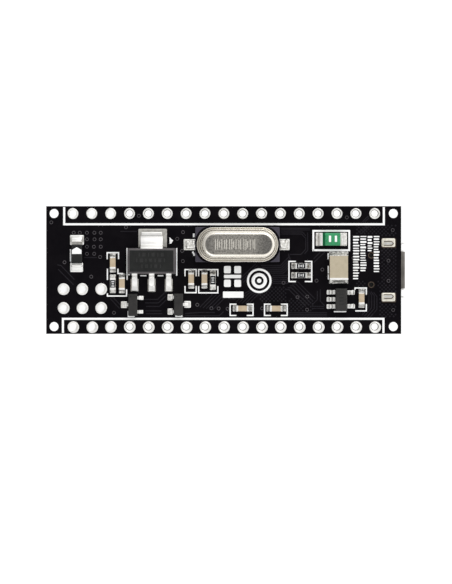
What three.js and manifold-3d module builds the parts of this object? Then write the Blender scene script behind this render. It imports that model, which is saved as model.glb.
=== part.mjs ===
// Microcontroller development board in the small "micro" format: a black circuit board with two
// rows of 17 header holes and a 2 x 3 programming header. One side carries the power supply and
// the crystal, the other the microcontroller, the USB socket, the reset switch and the lights.
//
// Millimetres. +X runs along the board towards the USB socket, +Y runs across it and +Z points
// out of the supply side. X = Y = 0 is the middle of the board, and Z = 0 is the plane it rests
// on, the back of the USB shell.

import * as THREE from 'three';
import { mergeVertices } from 'three/addons/utils/BufferGeometryUtils.js';
import Module from 'manifold-3d';

const wasm = await Module();
wasm.setup();

// ---------------------------------------------------------------- driving dimensions

const BOARD_LENGTH = 47.8;
const BOARD_WIDTH = 17.2;
const BOARD_THICKNESS = 1.6;
const UNDERSIDE_Z = 2.5; // also the height of the USB socket
const SUPPLY_FACE_Z = UNDERSIDE_Z + BOARD_THICKNESS;

const PITCH = 2.54;
const HEADER_HOLES = 17;
const HEADER_ROW_Y = 3 * PITCH;
const HEADER_HOLE_RADIUS = 0.5;
const HEADER_LAND_RADIUS = 0.75;
const PROGRAMMING_X = -19.07;
const PROGRAMMING_Y = -3.83;
const PROGRAMMING_LAND_RADIUS = 0.83;
const CORNER_HOLE_X = 9 * PITCH;
const CORNER_HOLE_RADIUS = 0.65;
const CORNER_LAND_RADIUS = 0.93;
const LAND_HEIGHT = 0.035;
const HOLE_STEPS = 12;

const SEAT_GAP = 0.02; // between a piece and what it is soldered or clipped to
const OVERCUT = 1; // how far a cutting tool runs past the piece it cuts
const MERGE_DISTANCE = 1e-4; // corners closer than this count as one
const CASE_LIFT = 0.06; // between a small moulded case and its lead's feet
const CASE_DRAFT = 0.12; // how far a moulded case leans in from its parting line

const CRYSTAL = {
  x: 1.85,
  y: 3.42,
  plate: { length: 11.34, width: 4.7, height: 0.7 },
  flange: { length: 10.96, width: 4.66, height: 0.3 },
  header: { length: 9.2, width: 3.0, height: 0.5 },
  can: { length: 9.96, width: 3.84, height: 3.1, wall: 0.2, shoulder: 0.42, rim: 0.25 },
  quartz: { length: 7.2, width: 1.8, height: 0.12, lift: 1.0, bevel: 0.1 },
  lead: { width: 0.7, thickness: 0.2, post: 0.43, pitch: 4.88, reach: 6.7 },
  clip: { length: 0.9, width: 1.2, thickness: 0.18, drop: 0.2 },
};

const REGULATOR_5V = {
  x: -9.7,
  y: 1.2,
  length: 6.5,
  width: 3.5,
  height: 1.6,
  toe: 3.5,
  thickness: 0.28,
  exitHeight: 0.72,
  tabWidth: 3.0,
  leadWidth: 0.72,
  leadPitch: 2.3,
  foot: 0.9,
  draft: 0.2,
  tabRoot: 0.2,
  leadRoot: 1.0,
};

const USB = {
  rear: 18.95,
  front: 23.98,
  lipEnd: 24.43,
  halfWidth: 3.7,
  narrowHalfWidth: 2.75,
  shoulder: 0.97,
  corner: 0.3,
  sheet: 0.25,
  pegX: 19.87,
  pegY: 1.98,
  pegRadius: 0.29,
  pegHoleRadius: 0.4,
  tabX: 22.2,
  tabY: 3.575,
  contactPitch: 0.65,
  lip: { overlap: 0.15, flare: 0.25, sideFlare: 0.1, boardWidth: 5.1, backWidth: 5.6 },
  sideLip: { width: 0.8, height: 1.65 },
  tab: { length: 1.2, drop: 0.1, rise: 0.3 },
  slot: { length: 1.5, width: 0.8 },
  window: { x: 21.4, y: 1.7, length: 1.1, width: 0.8 },
  rearOpening: { length: 1.85, depth: 0.5 },
  block: { length: 1.55, saddleWidth: 5.2, saddleHeight: 0.4 },
  tongue: { length: 2.9, width: 3.7, height: 0.6 },
};

const SWITCH = {
  x: -12.4,
  y: 0,
  length: 4.0,
  width: 3.0,
  baseHeight: 1.15,
  cavityRadius: 1.2,
  floor: 0.35,
  coverThickness: 0.13,
  flangeRadius: 1.1,
  stemRadius: 0.8,
  stemTop: 2.0,
  domeHeight: 0.43,
  domeSheet: 0.06,
  coverOverhang: 0.15,
  clip: { width: 1.6, height: 0.9, lap: 0.1 },
};

const SMALL_CAPACITOR = { length: 1.6, width: 0.8, height: 0.8, band: 0.35 };
const SMALL_RESISTOR = { length: 1.6, width: 0.8, height: 0.45, band: 0.3 };
const FUSE = { length: 3.2, width: 1.74, height: 0.7, band: 0.4 };
const INPUT_CAPACITOR = { length: 3.4, width: 2.5, height: 2.0, band: 0.4 };
const FERRITE_BEAD = { length: 2.0, width: 1.25, height: 0.85, band: 0.45 };
const RESISTOR_ARRAY = { length: 3.2, width: 1.5, height: 0.46, lanes: 4, pitch: 0.8 };
const ARRAY_TERMINAL = { length: 0.42, width: 0.36, height: 0.5, offset: 0.66 };
const LIGHT_BASE = { length: 1.6, width: 0.8, height: 0.24 };
const LIGHT_LENS = { length: 1.15, width: 0.78, draft: 0.07, bottom: 0.2, top: 0.6 };

// ---------------------------------------------------------------- materials

function finish(color, roughness, metalness) {
  return new THREE.MeshStandardMaterial({ color, roughness, metalness });
}

const solderMask = finish(0x0d0a0e, 0.35, 0.0);
const mouldedBlack = finish(0x323232, 0.7, 0.0);
const tinnedMetal = finish(0xd8d6d0, 0.35, 0.9);
const nickelCan = finish(0xb9b5ac, 0.3, 1.0);
const dampedPlastic = finish(0x3c3a40, 0.6, 0.0);
const quartzClear = finish(0xe6ecee, 0.1, 0.0);
const tanCeramic = finish(0xbea078, 0.6, 0.0);
const paleCeramic = finish(0xafa087, 0.6, 0.0);
const resistorGlaze = finish(0x26282c, 0.4, 0.0);
const fuseGreen = finish(0x1e8c4b, 0.45, 0.0);
const socketSteel = finish(0xc8c8c6, 0.3, 1.0);
const goldPlate = finish(0xd9b45a, 0.3, 1.0);
const switchCream = finish(0xe2dccb, 0.55, 0.0);
const springSteel = finish(0xa9abad, 0.35, 1.0);
const diffusedLens = finish(0xf2f0e4, 0.4, 0.0);
const ferriteGrey = finish(0x4a4a4e, 0.55, 0.1);

// ---------------------------------------------------------------- solids

// Turns a closed three.js geometry into a solid that can be joined and cut.
function solid(geometry) {
  const bare = geometry.clone();
  bare.deleteAttribute('normal');
  bare.deleteAttribute('uv');
  const merged = mergeVertices(bare, MERGE_DISTANCE);
  const mesh = new wasm.Mesh({
    numProp: 3,
    vertProperties: Float32Array.from(merged.attributes.position.array),
    triVerts: Uint32Array.from(merged.index.array),
  });
  return new wasm.Manifold(mesh);
}

function geometryOf(body) {
  const mesh = body.getMesh();
  const geometry = new THREE.BufferGeometry();
  const positions = Float32Array.from(mesh.vertProperties);
  geometry.setAttribute('position', new THREE.BufferAttribute(positions, mesh.numProp));
  geometry.setIndex(new THREE.BufferAttribute(Uint32Array.from(mesh.triVerts), 1));
  geometry.computeVertexNormals();
  return geometry;
}

function join(geometries) {
  const bodies = geometries.map(solid);
  return geometryOf(bodies.reduce((whole, next) => whole.add(next)));
}

function cut(geometry, tools) {
  const bodies = tools.map(solid);
  return geometryOf(bodies.reduce((whole, tool) => whole.subtract(tool), solid(geometry)));
}

// A box centred on (x, y) that stands on the height "bottom".
function block(length, width, height, x = 0, y = 0, bottom = 0) {
  const geometry = new THREE.BoxGeometry(length, width, height);
  return geometry.translate(x, y, bottom + height / 2);
}

// An upright round bar that stands on the height "bottom".
function bar(radius, height, x, y, bottom, steps = HOLE_STEPS) {
  const geometry = new THREE.CylinderGeometry(radius, radius, height, steps);
  geometry.rotateX(Math.PI / 2);
  return geometry.translate(x, y, bottom + height / 2);
}

function rectangleRing(length, width, z) {
  const corners = [[-1, -1], [1, -1], [1, 1], [-1, 1]];
  return corners.map(([sx, sy]) => new THREE.Vector3((sx * length) / 2, (sy * width) / 2, z));
}

// A stadium outline: two half circles joined by straight sides.
function obroundRing(length, width, z, stepsPerEnd = 8) {
  const radius = width / 2;
  const straight = length / 2 - radius;
  const ring = [];
  for (const side of [1, -1]) {
    for (let i = 0; i <= stepsPerEnd; i += 1) {
      const angle = -Math.PI / 2 + (Math.PI * i) / stepsPerEnd;
      const x = side * (straight + radius * Math.cos(angle));
      const y = side * radius * Math.sin(angle);
      ring.push(new THREE.Vector3(x, y, z));
    }
  }
  return ring;
}

// A closed solid through a stack of convex rings, given from bottom to top.
function loft(rings) {
  const positions = rings.flat().flatMap((point) => point.toArray());
  const count = rings[0].length;
  const topStart = (rings.length - 1) * count;
  const faces = [];
  for (let level = 0; level < rings.length - 1; level += 1) {
    for (let i = 0; i < count; i += 1) {
      const a = level * count + i;
      const b = level * count + ((i + 1) % count);
      faces.push(a, b, b + count, a, b + count, a + count);
    }
  }
  for (let i = 1; i < count - 1; i += 1) {
    faces.push(0, i + 1, i, topStart, topStart + i, topStart + i + 1);
  }
  const geometry = new THREE.BufferGeometry();
  geometry.setAttribute('position', new THREE.Float32BufferAttribute(positions, 3));
  geometry.setIndex(faces);
  geometry.computeVertexNormals();
  return geometry;
}

// Extrudes an outline drawn in the X-Z plane by "width", centred on Y = 0.
function acrossY(outline, width) {
  const shape = new THREE.Shape(outline.map(([x, z]) => new THREE.Vector2(x, z)));
  const geometry = new THREE.ExtrudeGeometry(shape, { depth: width, bevelEnabled: false });
  geometry.translate(0, 0, -width / 2);
  return geometry.rotateX(Math.PI / 2);
}

// Extrudes an outline drawn in the Y-Z plane from X = start to X = end.
function alongX(outline, start, end) {
  const shape = new THREE.Shape(outline.map(([y, z]) => new THREE.Vector2(y, z)));
  const geometry = new THREE.ExtrudeGeometry(shape, { depth: end - start, bevelEnabled: false });
  const axes = new THREE.Matrix4().makeBasis(
    new THREE.Vector3(0, 1, 0),
    new THREE.Vector3(0, 0, 1),
    new THREE.Vector3(1, 0, 0),
  );
  geometry.applyMatrix4(axes);
  return geometry.translate(start, 0, 0);
}

// ---------------------------------------------------------------- packages

// A moulded case whose four walls lean in above and below the parting line.
function mouldedCase(length, width, height, bottom, draft = CASE_DRAFT) {
  return loft([
    rectangleRing(length - 2 * draft, width - 2 * draft, bottom),
    rectangleRing(length, width, bottom + height / 2),
    rectangleRing(length - 2 * draft, width - 2 * draft, bottom + height),
  ]);
}

// A gull-wing lead that leaves a case along +X, drops to the board and ends in a flat foot.
function gullWing({ inner, toe, foot, exitHeight, thickness, width }) {
  const heel = toe - foot;
  const shoulder = heel - 0.35 * exitHeight;
  const bend = 0.55 * thickness;
  const outline = [
    [inner, exitHeight],
    [shoulder - bend, exitHeight],
    [heel - bend, 0],
    [toe, 0],
    [toe, thickness],
    [heel + bend, thickness],
    [shoulder + bend, exitHeight + thickness],
    [inner, exitHeight + thickness],
  ];
  return acrossY(outline, width);
}

// A case with gull-wing leads: each station turns the lead and shifts it along the case's side.
function leadedChip(body, lead, stations) {
  const leads = stations.map(({ turn, along }) => {
    const geometry = gullWing(lead);
    geometry.translate(0, along, 0);
    return geometry.rotateZ(turn);
  });
  return join([body, ...leads]);
}

// A two-terminal chip along X: a ceramic block whose metal ends stand a little proud.
function twoTerminalChip({ length, width, height, band, step = 0.02 }) {
  const middle = block(length - band, width - 2 * step, height - 2 * step, 0, 0, step);
  const endShift = (length - band) / 2;
  const leftEnd = block(band, width, height, -endShift);
  const rightEnd = block(band, width, height, endShift);
  return join([middle, leftEnd, rightEnd]);
}

const LEFT = Math.PI;
const RIGHT = 0;
const LEAD_OFFSET = 0.95; // half the span of the outer leads on the small packages

function threeLeadTransistor() {
  const body = mouldedCase(1.3, 2.9, 1.0, CASE_LIFT);
  const lead = { inner: 0.4, toe: 1.2, foot: 0.3, exitHeight: 0.45, thickness: 0.13, width: 0.42 };
  const stations = [
    { turn: LEFT, along: 0 },
    { turn: RIGHT, along: LEAD_OFFSET },
    { turn: RIGHT, along: -LEAD_OFFSET },
  ];
  return leadedChip(body, lead, stations);
}

function fiveLeadRegulator() {
  const body = mouldedCase(1.6, 2.9, 1.1, CASE_LIFT);
  const lead = { inner: 0.5, toe: 1.4, foot: 0.35, exitHeight: 0.5, thickness: 0.15, width: 0.4 };
  const left = [-LEAD_OFFSET, 0, LEAD_OFFSET].map((along) => ({ turn: LEFT, along }));
  const right = [-LEAD_OFFSET, LEAD_OFFSET].map((along) => ({ turn: RIGHT, along }));
  return leadedChip(body, lead, [...left, ...right]);
}

function twoLeadDiode() {
  const body = mouldedCase(2.7, 1.5, 1.1, CASE_LIFT);
  const lead = { inner: 1.0, toe: 1.85, foot: 0.32, exitHeight: 0.45, thickness: 0.15, width: 0.95 };
  const stations = [LEFT, RIGHT].map((turn) => ({ turn, along: 0 }));
  return leadedChip(body, lead, stations);
}

function flatPack44() {
  const leadsPerSide = 11;
  const leadPitch = 0.8;
  const body = mouldedCase(10, 10, 1.0, 0.1);
  const lead = { inner: 4.7, toe: 6.0, foot: 0.5, exitHeight: 0.52, thickness: 0.13, width: 0.35 };
  const stations = [];
  for (let side = 0; side < 4; side += 1) {
    for (let i = 0; i < leadsPerSide; i += 1) {
      const along = (i - (leadsPerSide - 1) / 2) * leadPitch;
      stations.push({ turn: (side * Math.PI) / 2, along });
    }
  }
  return leadedChip(body, lead, stations);
}

// Four resistors in one block, with four terminals down each long side.
function resistorArray() {
  const { length, width, height, lanes, pitch } = RESISTOR_ARRAY;
  const terminals = [];
  for (const side of [-1, 1]) {
    for (let i = 0; i < lanes; i += 1) {
      const x = (i - (lanes - 1) / 2) * pitch;
      const y = side * ARRAY_TERMINAL.offset;
      terminals.push(block(ARRAY_TERMINAL.length, ARRAY_TERMINAL.width, ARRAY_TERMINAL.height, x, y));
    }
  }
  return join([block(length, width, height, 0, 0, SEAT_GAP), ...terminals]);
}

function chipLight() {
  const { length, width, draft, bottom, top } = LIGHT_LENS;
  const lens = loft([
    rectangleRing(length, width, bottom),
    rectangleRing(length - 2 * draft, width - 2 * draft, top),
  ]);
  return join([block(LIGHT_BASE.length, LIGHT_BASE.width, LIGHT_BASE.height), lens]);
}

// ---------------------------------------------------------------- scene graph

const devBoard = new THREE.Group();

// Each side of the board has its own group, with +Z pointing away from the laminate.
const supplySide = new THREE.Group();
supplySide.position.z = SUPPLY_FACE_Z + SEAT_GAP;
devBoard.add(supplySide);

const logicSide = new THREE.Group();
logicSide.position.z = UNDERSIDE_Z - SEAT_GAP;
logicSide.rotation.x = Math.PI;
devBoard.add(logicSide);

function addPiece(group, name, geometry, material) {
  const mesh = new THREE.Mesh(geometry, material);
  mesh.name = name;
  group.add(mesh);
  return mesh;
}

function onSupplySide(name, geometry, material, x, y, turn = 0) {
  const mesh = addPiece(supplySide, name, geometry, material);
  mesh.position.set(x, y, 0);
  mesh.rotation.z = turn;
}

// The logic side's group is turned over, so a place at +Y on the board is at -Y in the group.
function onLogicSide(name, geometry, material, x, y, turn = 0) {
  const mesh = addPiece(logicSide, name, geometry, material);
  mesh.position.set(x, -y, 0);
  mesh.rotation.z = turn;
}

const UPRIGHT = Math.PI / 2; // turns a piece that lies along X so that it lies along Y

// ---------------------------------------------------------------- circuit board

function buildBoard() {
  const bottom = UNDERSIDE_Z;
  const landTop = BOARD_THICKNESS + LAND_HEIGHT;
  const lands = [];
  const holes = [];
  const drillLength = BOARD_THICKNESS + 2 * OVERCUT;
  const through = (radius, x, y) => bar(radius, drillLength, x, y, bottom - OVERCUT);
  const land = (radius, x, y) => bar(radius, landTop / 2, x, y, bottom + landTop / 2);

  for (let i = 0; i < HEADER_HOLES; i += 1) {
    const x = (i - (HEADER_HOLES - 1) / 2) * PITCH;
    for (const y of [-HEADER_ROW_Y, HEADER_ROW_Y]) {
      lands.push(land(HEADER_LAND_RADIUS, x, y));
      holes.push(through(HEADER_HOLE_RADIUS, x, y));
    }
  }
  for (const column of [-1, 0, 1]) {
    for (const row of [-0.5, 0.5]) {
      const x = PROGRAMMING_X + column * PITCH;
      const y = PROGRAMMING_Y + row * PITCH;
      lands.push(land(PROGRAMMING_LAND_RADIUS, x, y));
      holes.push(through(HEADER_HOLE_RADIUS, x, y));
    }
  }
  for (const x of [-CORNER_HOLE_X, CORNER_HOLE_X]) {
    for (const y of [-HEADER_ROW_Y, HEADER_ROW_Y]) {
      lands.push(land(CORNER_LAND_RADIUS, x, y));
      holes.push(through(CORNER_HOLE_RADIUS, x, y));
    }
  }
  for (const side of [-1, 1]) {
    const slot = loft([
      obroundRing(USB.slot.length, USB.slot.width, bottom - OVERCUT),
      obroundRing(USB.slot.length, USB.slot.width, bottom + BOARD_THICKNESS + OVERCUT),
    ]);
    holes.push(slot.translate(USB.tabX, side * USB.tabY, 0));
    holes.push(through(USB.pegHoleRadius, USB.pegX, side * USB.pegY));
  }
  const slab = block(BOARD_LENGTH, BOARD_WIDTH, BOARD_THICKNESS, 0, 0, bottom);
  return cut(join([slab, ...lands]), holes);
}

addPiece(devBoard, 'circuit_board', buildBoard(), solderMask);

// ---------------------------------------------------------------- crystal

function buildCrystalInsulator() {
  const { plate, lead } = CRYSTAL;
  const cuts = [];
  for (const side of [-1, 1]) {
    const inner = lead.pitch / 2 - lead.post / 2 - SEAT_GAP;
    const grooveLength = plate.length / 2 - inner + OVERCUT;
    const grooveX = side * (inner + grooveLength / 2);
    const grooveHeight = lead.thickness + SEAT_GAP + OVERCUT;
    cuts.push(block(grooveLength, lead.width + 2 * SEAT_GAP, grooveHeight, grooveX, 0, -OVERCUT));
    const holeSize = lead.post + 2 * SEAT_GAP;
    const holeHeight = plate.height + 2 * OVERCUT;
    cuts.push(block(holeSize, holeSize, holeHeight, (side * lead.pitch) / 2, 0, -OVERCUT));
  }
  return cut(block(plate.length, plate.width, plate.height), cuts);
}

function buildCrystalHeader() {
  const { plate, flange, header, lead } = CRYSTAL;
  const bottom = plate.height + SEAT_GAP;
  const body = loft([
    obroundRing(flange.length, flange.width, bottom),
    obroundRing(flange.length, flange.width, bottom + flange.height),
  ]);
  const step = loft([
    obroundRing(header.length, header.width, bottom + flange.height / 2),
    obroundRing(header.length, header.width, bottom + header.height),
  ]);
  const holeSize = lead.post + 2 * SEAT_GAP;
  const holeHeight = bottom + header.height + OVERCUT;
  const hole = (side) => block(holeSize, holeSize, holeHeight, (side * lead.pitch) / 2);
  const holes = [-1, 1].map(hole);
  return cut(join([body, step]), holes);
}

function buildCrystalCan() {
  const { plate, flange, can } = CRYSTAL;
  const bottom = plate.height + flange.height + 2 * SEAT_GAP;
  const rimTop = bottom + can.rim;
  const top = bottom + can.height;
  const foot = 0.15; // height over which the wall leaves the rim
  const outline = (shrink, z) => obroundRing(can.length - 2 * shrink, can.width - 2 * shrink, z);
  const shell = loft([
    obroundRing(flange.length, flange.width, bottom),
    obroundRing(flange.length, flange.width, rimTop),
    outline(0, rimTop + foot),
    outline(0, top - can.shoulder),
    outline(0.25 * can.shoulder, top - 0.43 * can.shoulder),
    outline(can.shoulder, top),
  ]);
  const hollow = loft([
    outline(can.wall, bottom - OVERCUT),
    outline(can.wall, top - can.shoulder - can.wall),
    outline(can.wall + can.shoulder, top - can.wall),
  ]);
  return cut(shell, [hollow]);
}

// One lead: a foot on the board, a post up through the header and a clip for the quartz.
function buildCrystalLead() {
  const { plate, header, quartz, lead, clip } = CRYSTAL;
  const postX = lead.pitch / 2;
  const clipBottom = plate.height + header.height + quartz.lift - clip.drop;
  const footStart = postX - lead.post / 2;
  const footLength = lead.reach - footStart;
  const foot = block(footLength, lead.width, lead.thickness, footStart + footLength / 2);
  const post = block(lead.post, lead.post, clipBottom + clip.thickness / 2, postX);
  const holder = block(clip.length, clip.width, clip.thickness, postX, 0, clipBottom);
  return join([foot, post, holder]);
}

function buildQuartz() {
  const { plate, header, quartz } = CRYSTAL;
  const bottom = plate.height + header.height + quartz.lift;
  const narrowLength = quartz.length - 2 * quartz.bevel;
  const narrowWidth = quartz.width - quartz.bevel;
  return loft([
    rectangleRing(narrowLength, narrowWidth, bottom),
    rectangleRing(quartz.length, quartz.width, bottom + quartz.height / 2),
    rectangleRing(narrowLength, narrowWidth, bottom + quartz.height),
  ]);
}

onSupplySide('crystal_insulator', buildCrystalInsulator(), dampedPlastic, CRYSTAL.x, CRYSTAL.y);
onSupplySide('crystal_header', buildCrystalHeader(), nickelCan, CRYSTAL.x, CRYSTAL.y);
onSupplySide('crystal_can', buildCrystalCan(), nickelCan, CRYSTAL.x, CRYSTAL.y);
onSupplySide('crystal_quartz', buildQuartz(), quartzClear, CRYSTAL.x, CRYSTAL.y);
onSupplySide('crystal_lead_right', buildCrystalLead(), tinnedMetal, CRYSTAL.x, CRYSTAL.y);
onSupplySide('crystal_lead_left', buildCrystalLead(), tinnedMetal, CRYSTAL.x, CRYSTAL.y, LEFT);

// ---------------------------------------------------------------- 5 V regulator

// The case is long along X. The tab leaves it along +Y and the three leads along -Y.
function regulatorStrip(width, inner, turn) {
  const { toe, foot, exitHeight, thickness } = REGULATOR_5V;
  const strip = gullWing({ inner, toe, foot, exitHeight, thickness, width });
  return strip.rotateZ(turn);
}

const TO_TAB_SIDE = Math.PI / 2;
const TO_LEAD_SIDE = -Math.PI / 2;

function buildRegulatorTab() {
  const { tabWidth, leadWidth, tabRoot } = REGULATOR_5V;
  const tab = regulatorStrip(tabWidth, -tabRoot, TO_TAB_SIDE);
  const centreLead = regulatorStrip(leadWidth, -tabRoot, TO_LEAD_SIDE);
  return join([tab, centreLead]);
}

function buildRegulatorLead(side) {
  const { leadWidth, leadPitch, leadRoot } = REGULATOR_5V;
  return regulatorStrip(leadWidth, leadRoot, TO_LEAD_SIDE).translate(side * leadPitch, 0, 0);
}

// The case is moulded round its leads, so it has a slot for each of them.
function buildRegulatorCase() {
  const { length, width, height, draft, exitHeight, thickness } = REGULATOR_5V;
  const { tabWidth, tabRoot, leadWidth, leadPitch, leadRoot } = REGULATOR_5V;
  const slotHeight = thickness + 2 * SEAT_GAP;
  const slotBottom = exitHeight - SEAT_GAP;
  const slot = (slotWidth, x, start, end) => {
    const middle = (start + end) / 2;
    return block(slotWidth + 2 * SEAT_GAP, end - start, slotHeight, x, middle, slotBottom);
  };
  const outside = width / 2 + OVERCUT;
  const cuts = [
    slot(tabWidth, 0, -tabRoot - SEAT_GAP, outside),
    slot(leadWidth, 0, -outside, 0),
    slot(leadWidth, -leadPitch, -outside, SEAT_GAP - leadRoot),
    slot(leadWidth, leadPitch, -outside, SEAT_GAP - leadRoot),
  ];
  return cut(mouldedCase(length, width, height, CASE_LIFT, draft), cuts);
}

const { x: regulatorX, y: regulatorY } = REGULATOR_5V;
onSupplySide('regulator_5v_case', buildRegulatorCase(), mouldedBlack, regulatorX, regulatorY);
onSupplySide('regulator_5v_tab', buildRegulatorTab(), tinnedMetal, regulatorX, regulatorY);
onSupplySide('regulator_5v_lead_left', buildRegulatorLead(-1), tinnedMetal, regulatorX, regulatorY);
onSupplySide('regulator_5v_lead_right', buildRegulatorLead(1), tinnedMetal, regulatorX, regulatorY);

// ---------------------------------------------------------------- other supply-side pieces

onSupplySide('regulator_3v3', fiveLeadRegulator(), mouldedBlack, 15.83, -3.93);
onSupplySide('transistor_q1', threeLeadTransistor(), mouldedBlack, -12.28, -4.62);
onSupplySide('transistor_q2', threeLeadTransistor(), mouldedBlack, -6.07, -4.6, LEFT);
onSupplySide('polarity_diode', twoLeadDiode(), mouldedBlack, -19.76, 2.2, UPRIGHT);
onSupplySide('resettable_fuse', twoTerminalChip(FUSE), fuseGreen, 14.5, 4.14);
const inputCapacitor = twoTerminalChip(INPUT_CAPACITOR);
onSupplySide('input_capacitor', inputCapacitor, paleCeramic, 15.48, 0.28, UPRIGHT);

const supplyCapacitors = [
  { name: 'capacitor_c1', x: -14.93, y: 0.95, turn: UPRIGHT },
  { name: 'capacitor_c2', x: -13.7, y: -1.88, turn: UPRIGHT },
  { name: 'capacitor_c3', x: -4.38, y: -1.35, turn: UPRIGHT },
  { name: 'capacitor_c4', x: -2.6, y: -1.35, turn: UPRIGHT },
  { name: 'capacitor_c5', x: 2.54, y: -5.18, turn: 0 },
  { name: 'capacitor_c6', x: 7.08, y: -5.18, turn: 0 },
  { name: 'capacitor_c7', x: 18.56, y: -3.76, turn: UPRIGHT },
];
for (const { name, x, y, turn } of supplyCapacitors) {
  onSupplySide(name, twoTerminalChip(SMALL_CAPACITOR), tanCeramic, x, y, turn);
}

const supplyResistors = [
  { name: 'resistor_r1', x: -14.92, y: -1.86, turn: UPRIGHT },
  { name: 'resistor_r2', x: -1.46, y: -1.45, turn: UPRIGHT },
  { name: 'resistor_r3', x: 10.42, y: 0.55, turn: 0 },
  { name: 'resistor_r4', x: 10.42, y: -0.7, turn: 0 },
];
for (const { name, x, y, turn } of supplyResistors) {
  onSupplySide(name, twoTerminalChip(SMALL_RESISTOR), resistorGlaze, x, y, turn);
}

// ---------------------------------------------------------------- USB socket

// The socket is drawn in its own group at the board's X, with its Z measured off the board.
const socketTop = UNDERSIDE_Z - SEAT_GAP;

// The shell's section, drawn in by "inset": wide at its back and narrow next to the board.
function socketSection(inset) {
  const wide = USB.halfWidth - inset;
  const slope = 0.4 * inset;
  const top = socketTop - inset;
  const right = [
    [USB.narrowHalfWidth - slope, inset],
    [wide, USB.shoulder + slope],
    [wide, top - USB.corner],
    [wide - USB.corner, top],
  ];
  const left = right.map(([y, z]) => [-y, z]).reverse();
  return [...right, ...left];
}

function buildUsbShell() {
  const { rear, front, lipEnd, sheet, halfWidth, tabX, tabY, lip, sideLip, tab } = USB;
  const bore = alongX(socketSection(sheet), rear - OVERCUT, front + OVERCUT);
  const tube = cut(alongX(socketSection(0), rear, front), [bore]);
  const lipStart = front - lip.overlap;
  const boardLip = acrossY(
    [
      [lipStart, 0],
      [lipEnd, -lip.flare],
      [lipEnd, sheet - lip.flare],
      [lipStart, sheet],
    ],
    lip.boardWidth,
  );
  const backLip = acrossY(
    [
      [lipStart, socketTop - sheet],
      [lipEnd, socketTop - 0.6 * sheet],
      [lipEnd, socketTop],
      [lipStart, socketTop],
    ],
    lip.backWidth,
  );
  const sideLips = [-1, 1].map((side) => {
    const outline = [
      [lipStart, halfWidth - sheet],
      [lipEnd, halfWidth - sheet + lip.sideFlare],
      [lipEnd, halfWidth + lip.sideFlare],
      [lipStart, halfWidth],
    ];
    const wing = acrossY(outline, sideLip.width);
    wing.rotateX((side * Math.PI) / 2);
    return wing.translate(0, 0, sideLip.height);
  });
  const tabBottom = -BOARD_THICKNESS - tab.drop;
  const tabHeight = USB.shoulder + tab.rise - tabBottom;
  const tabAt = (side) => block(tab.length, sheet, tabHeight, tabX, side * tabY, tabBottom);
  const tabs = [-1, 1].map(tabAt);
  const { x, y, length, width } = USB.window;
  const windowAt = (side) => block(length, width, 2 * OVERCUT, x, side * y, socketTop - 0.5 * OVERCUT);
  const windows = [-1, 1].map(windowAt);
  const { length: openingLength, depth } = USB.rearOpening;
  const openingMiddle = rear + openingLength / 2;
  const openingWidth = 2 * USB.narrowHalfWidth;
  const openingHeight = depth + OVERCUT;
  const rearOpening = block(openingLength, openingWidth, openingHeight, openingMiddle, 0, -OVERCUT);
  return cut(join([tube, boardLip, backLip, ...sideLips, ...tabs]), [...windows, rearOpening]);
}

const CONTACT = {
  width: 0.23,
  thickness: 0.1,
  bottom: 1.05,
  front: 23.05,
  tail: 18.1,
  back: 18.65,
};
const contactPlaces = [-2, -1, 0, 1, 2].map((step) => step * USB.contactPitch);

function buildUsbInsulator() {
  const { rear, sheet, pegX, pegY, pegRadius, tongue } = USB;
  const { length, saddleWidth, saddleHeight } = USB.block;
  const start = rear + 0.2 * sheet;
  const end = rear + length;
  const plug = alongX(socketSection(sheet + SEAT_GAP), start, end);
  const saddle = block(end - start, saddleWidth, saddleHeight, (start + end) / 2);
  const tongueLength = tongue.length + sheet;
  const tongueX = end - sheet + tongueLength / 2;
  const tongueBottom = CONTACT.bottom - SEAT_GAP;
  const blade = block(tongueLength, tongue.width, tongue.height, tongueX, 0, tongueBottom);
  const pegLength = 1.2;
  const pegs = [-1, 1].map((side) => bar(pegRadius, pegLength, pegX, side * pegY, -1));
  const grooves = contactPlaces.map((y) => {
    const height = CONTACT.bottom + CONTACT.thickness + SEAT_GAP + OVERCUT;
    const grooveEnd = CONTACT.front + SEAT_GAP;
    const grooveLength = grooveEnd - CONTACT.tail;
    const middle = grooveEnd - grooveLength / 2;
    return block(grooveLength, CONTACT.width + 2 * SEAT_GAP, height, middle, y, -OVERCUT);
  });
  return cut(join([plug, saddle, blade, ...pegs]), grooves);
}

// A contact lies in the tongue, drops behind the block and ends in a tail on the board.
function buildUsbContact(y) {
  const { width, thickness, bottom, front, tail, back } = CONTACT;
  const outline = [
    [front, bottom],
    [front, bottom + thickness],
    [back, bottom + thickness],
    [back, thickness],
    [tail, thickness],
    [tail, 0],
    [back + thickness, 0],
    [back + thickness, bottom],
  ];
  return acrossY(outline, width).translate(0, y, 0);
}

onLogicSide('usb_shell', buildUsbShell(), socketSteel, 0, 0);
onLogicSide('usb_insulator', buildUsbInsulator(), mouldedBlack, 0, 0);
contactPlaces.forEach((y, index) => {
  onLogicSide(`usb_contact_${index + 1}`, buildUsbContact(y), goldPlate, 0, 0);
});

// ---------------------------------------------------------------- reset switch

const TERMINAL = { x: 1.5, width: 0.6, length: 4.4, thickness: 0.15 };
const ROUND_STEPS = 24;

function buildSwitchBase() {
  const { length, width, baseHeight, cavityRadius, floor } = SWITCH;
  const cavity = bar(cavityRadius, baseHeight, 0, 0, floor, ROUND_STEPS);
  const grooves = [-1, 1].map((side) => {
    const height = TERMINAL.thickness + SEAT_GAP + OVERCUT;
    const grooveWidth = TERMINAL.width + 2 * SEAT_GAP;
    return block(grooveWidth, width + OVERCUT, height, side * TERMINAL.x, 0, -OVERCUT);
  });
  return cut(block(length, width, baseHeight), [cavity, ...grooves]);
}

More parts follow.
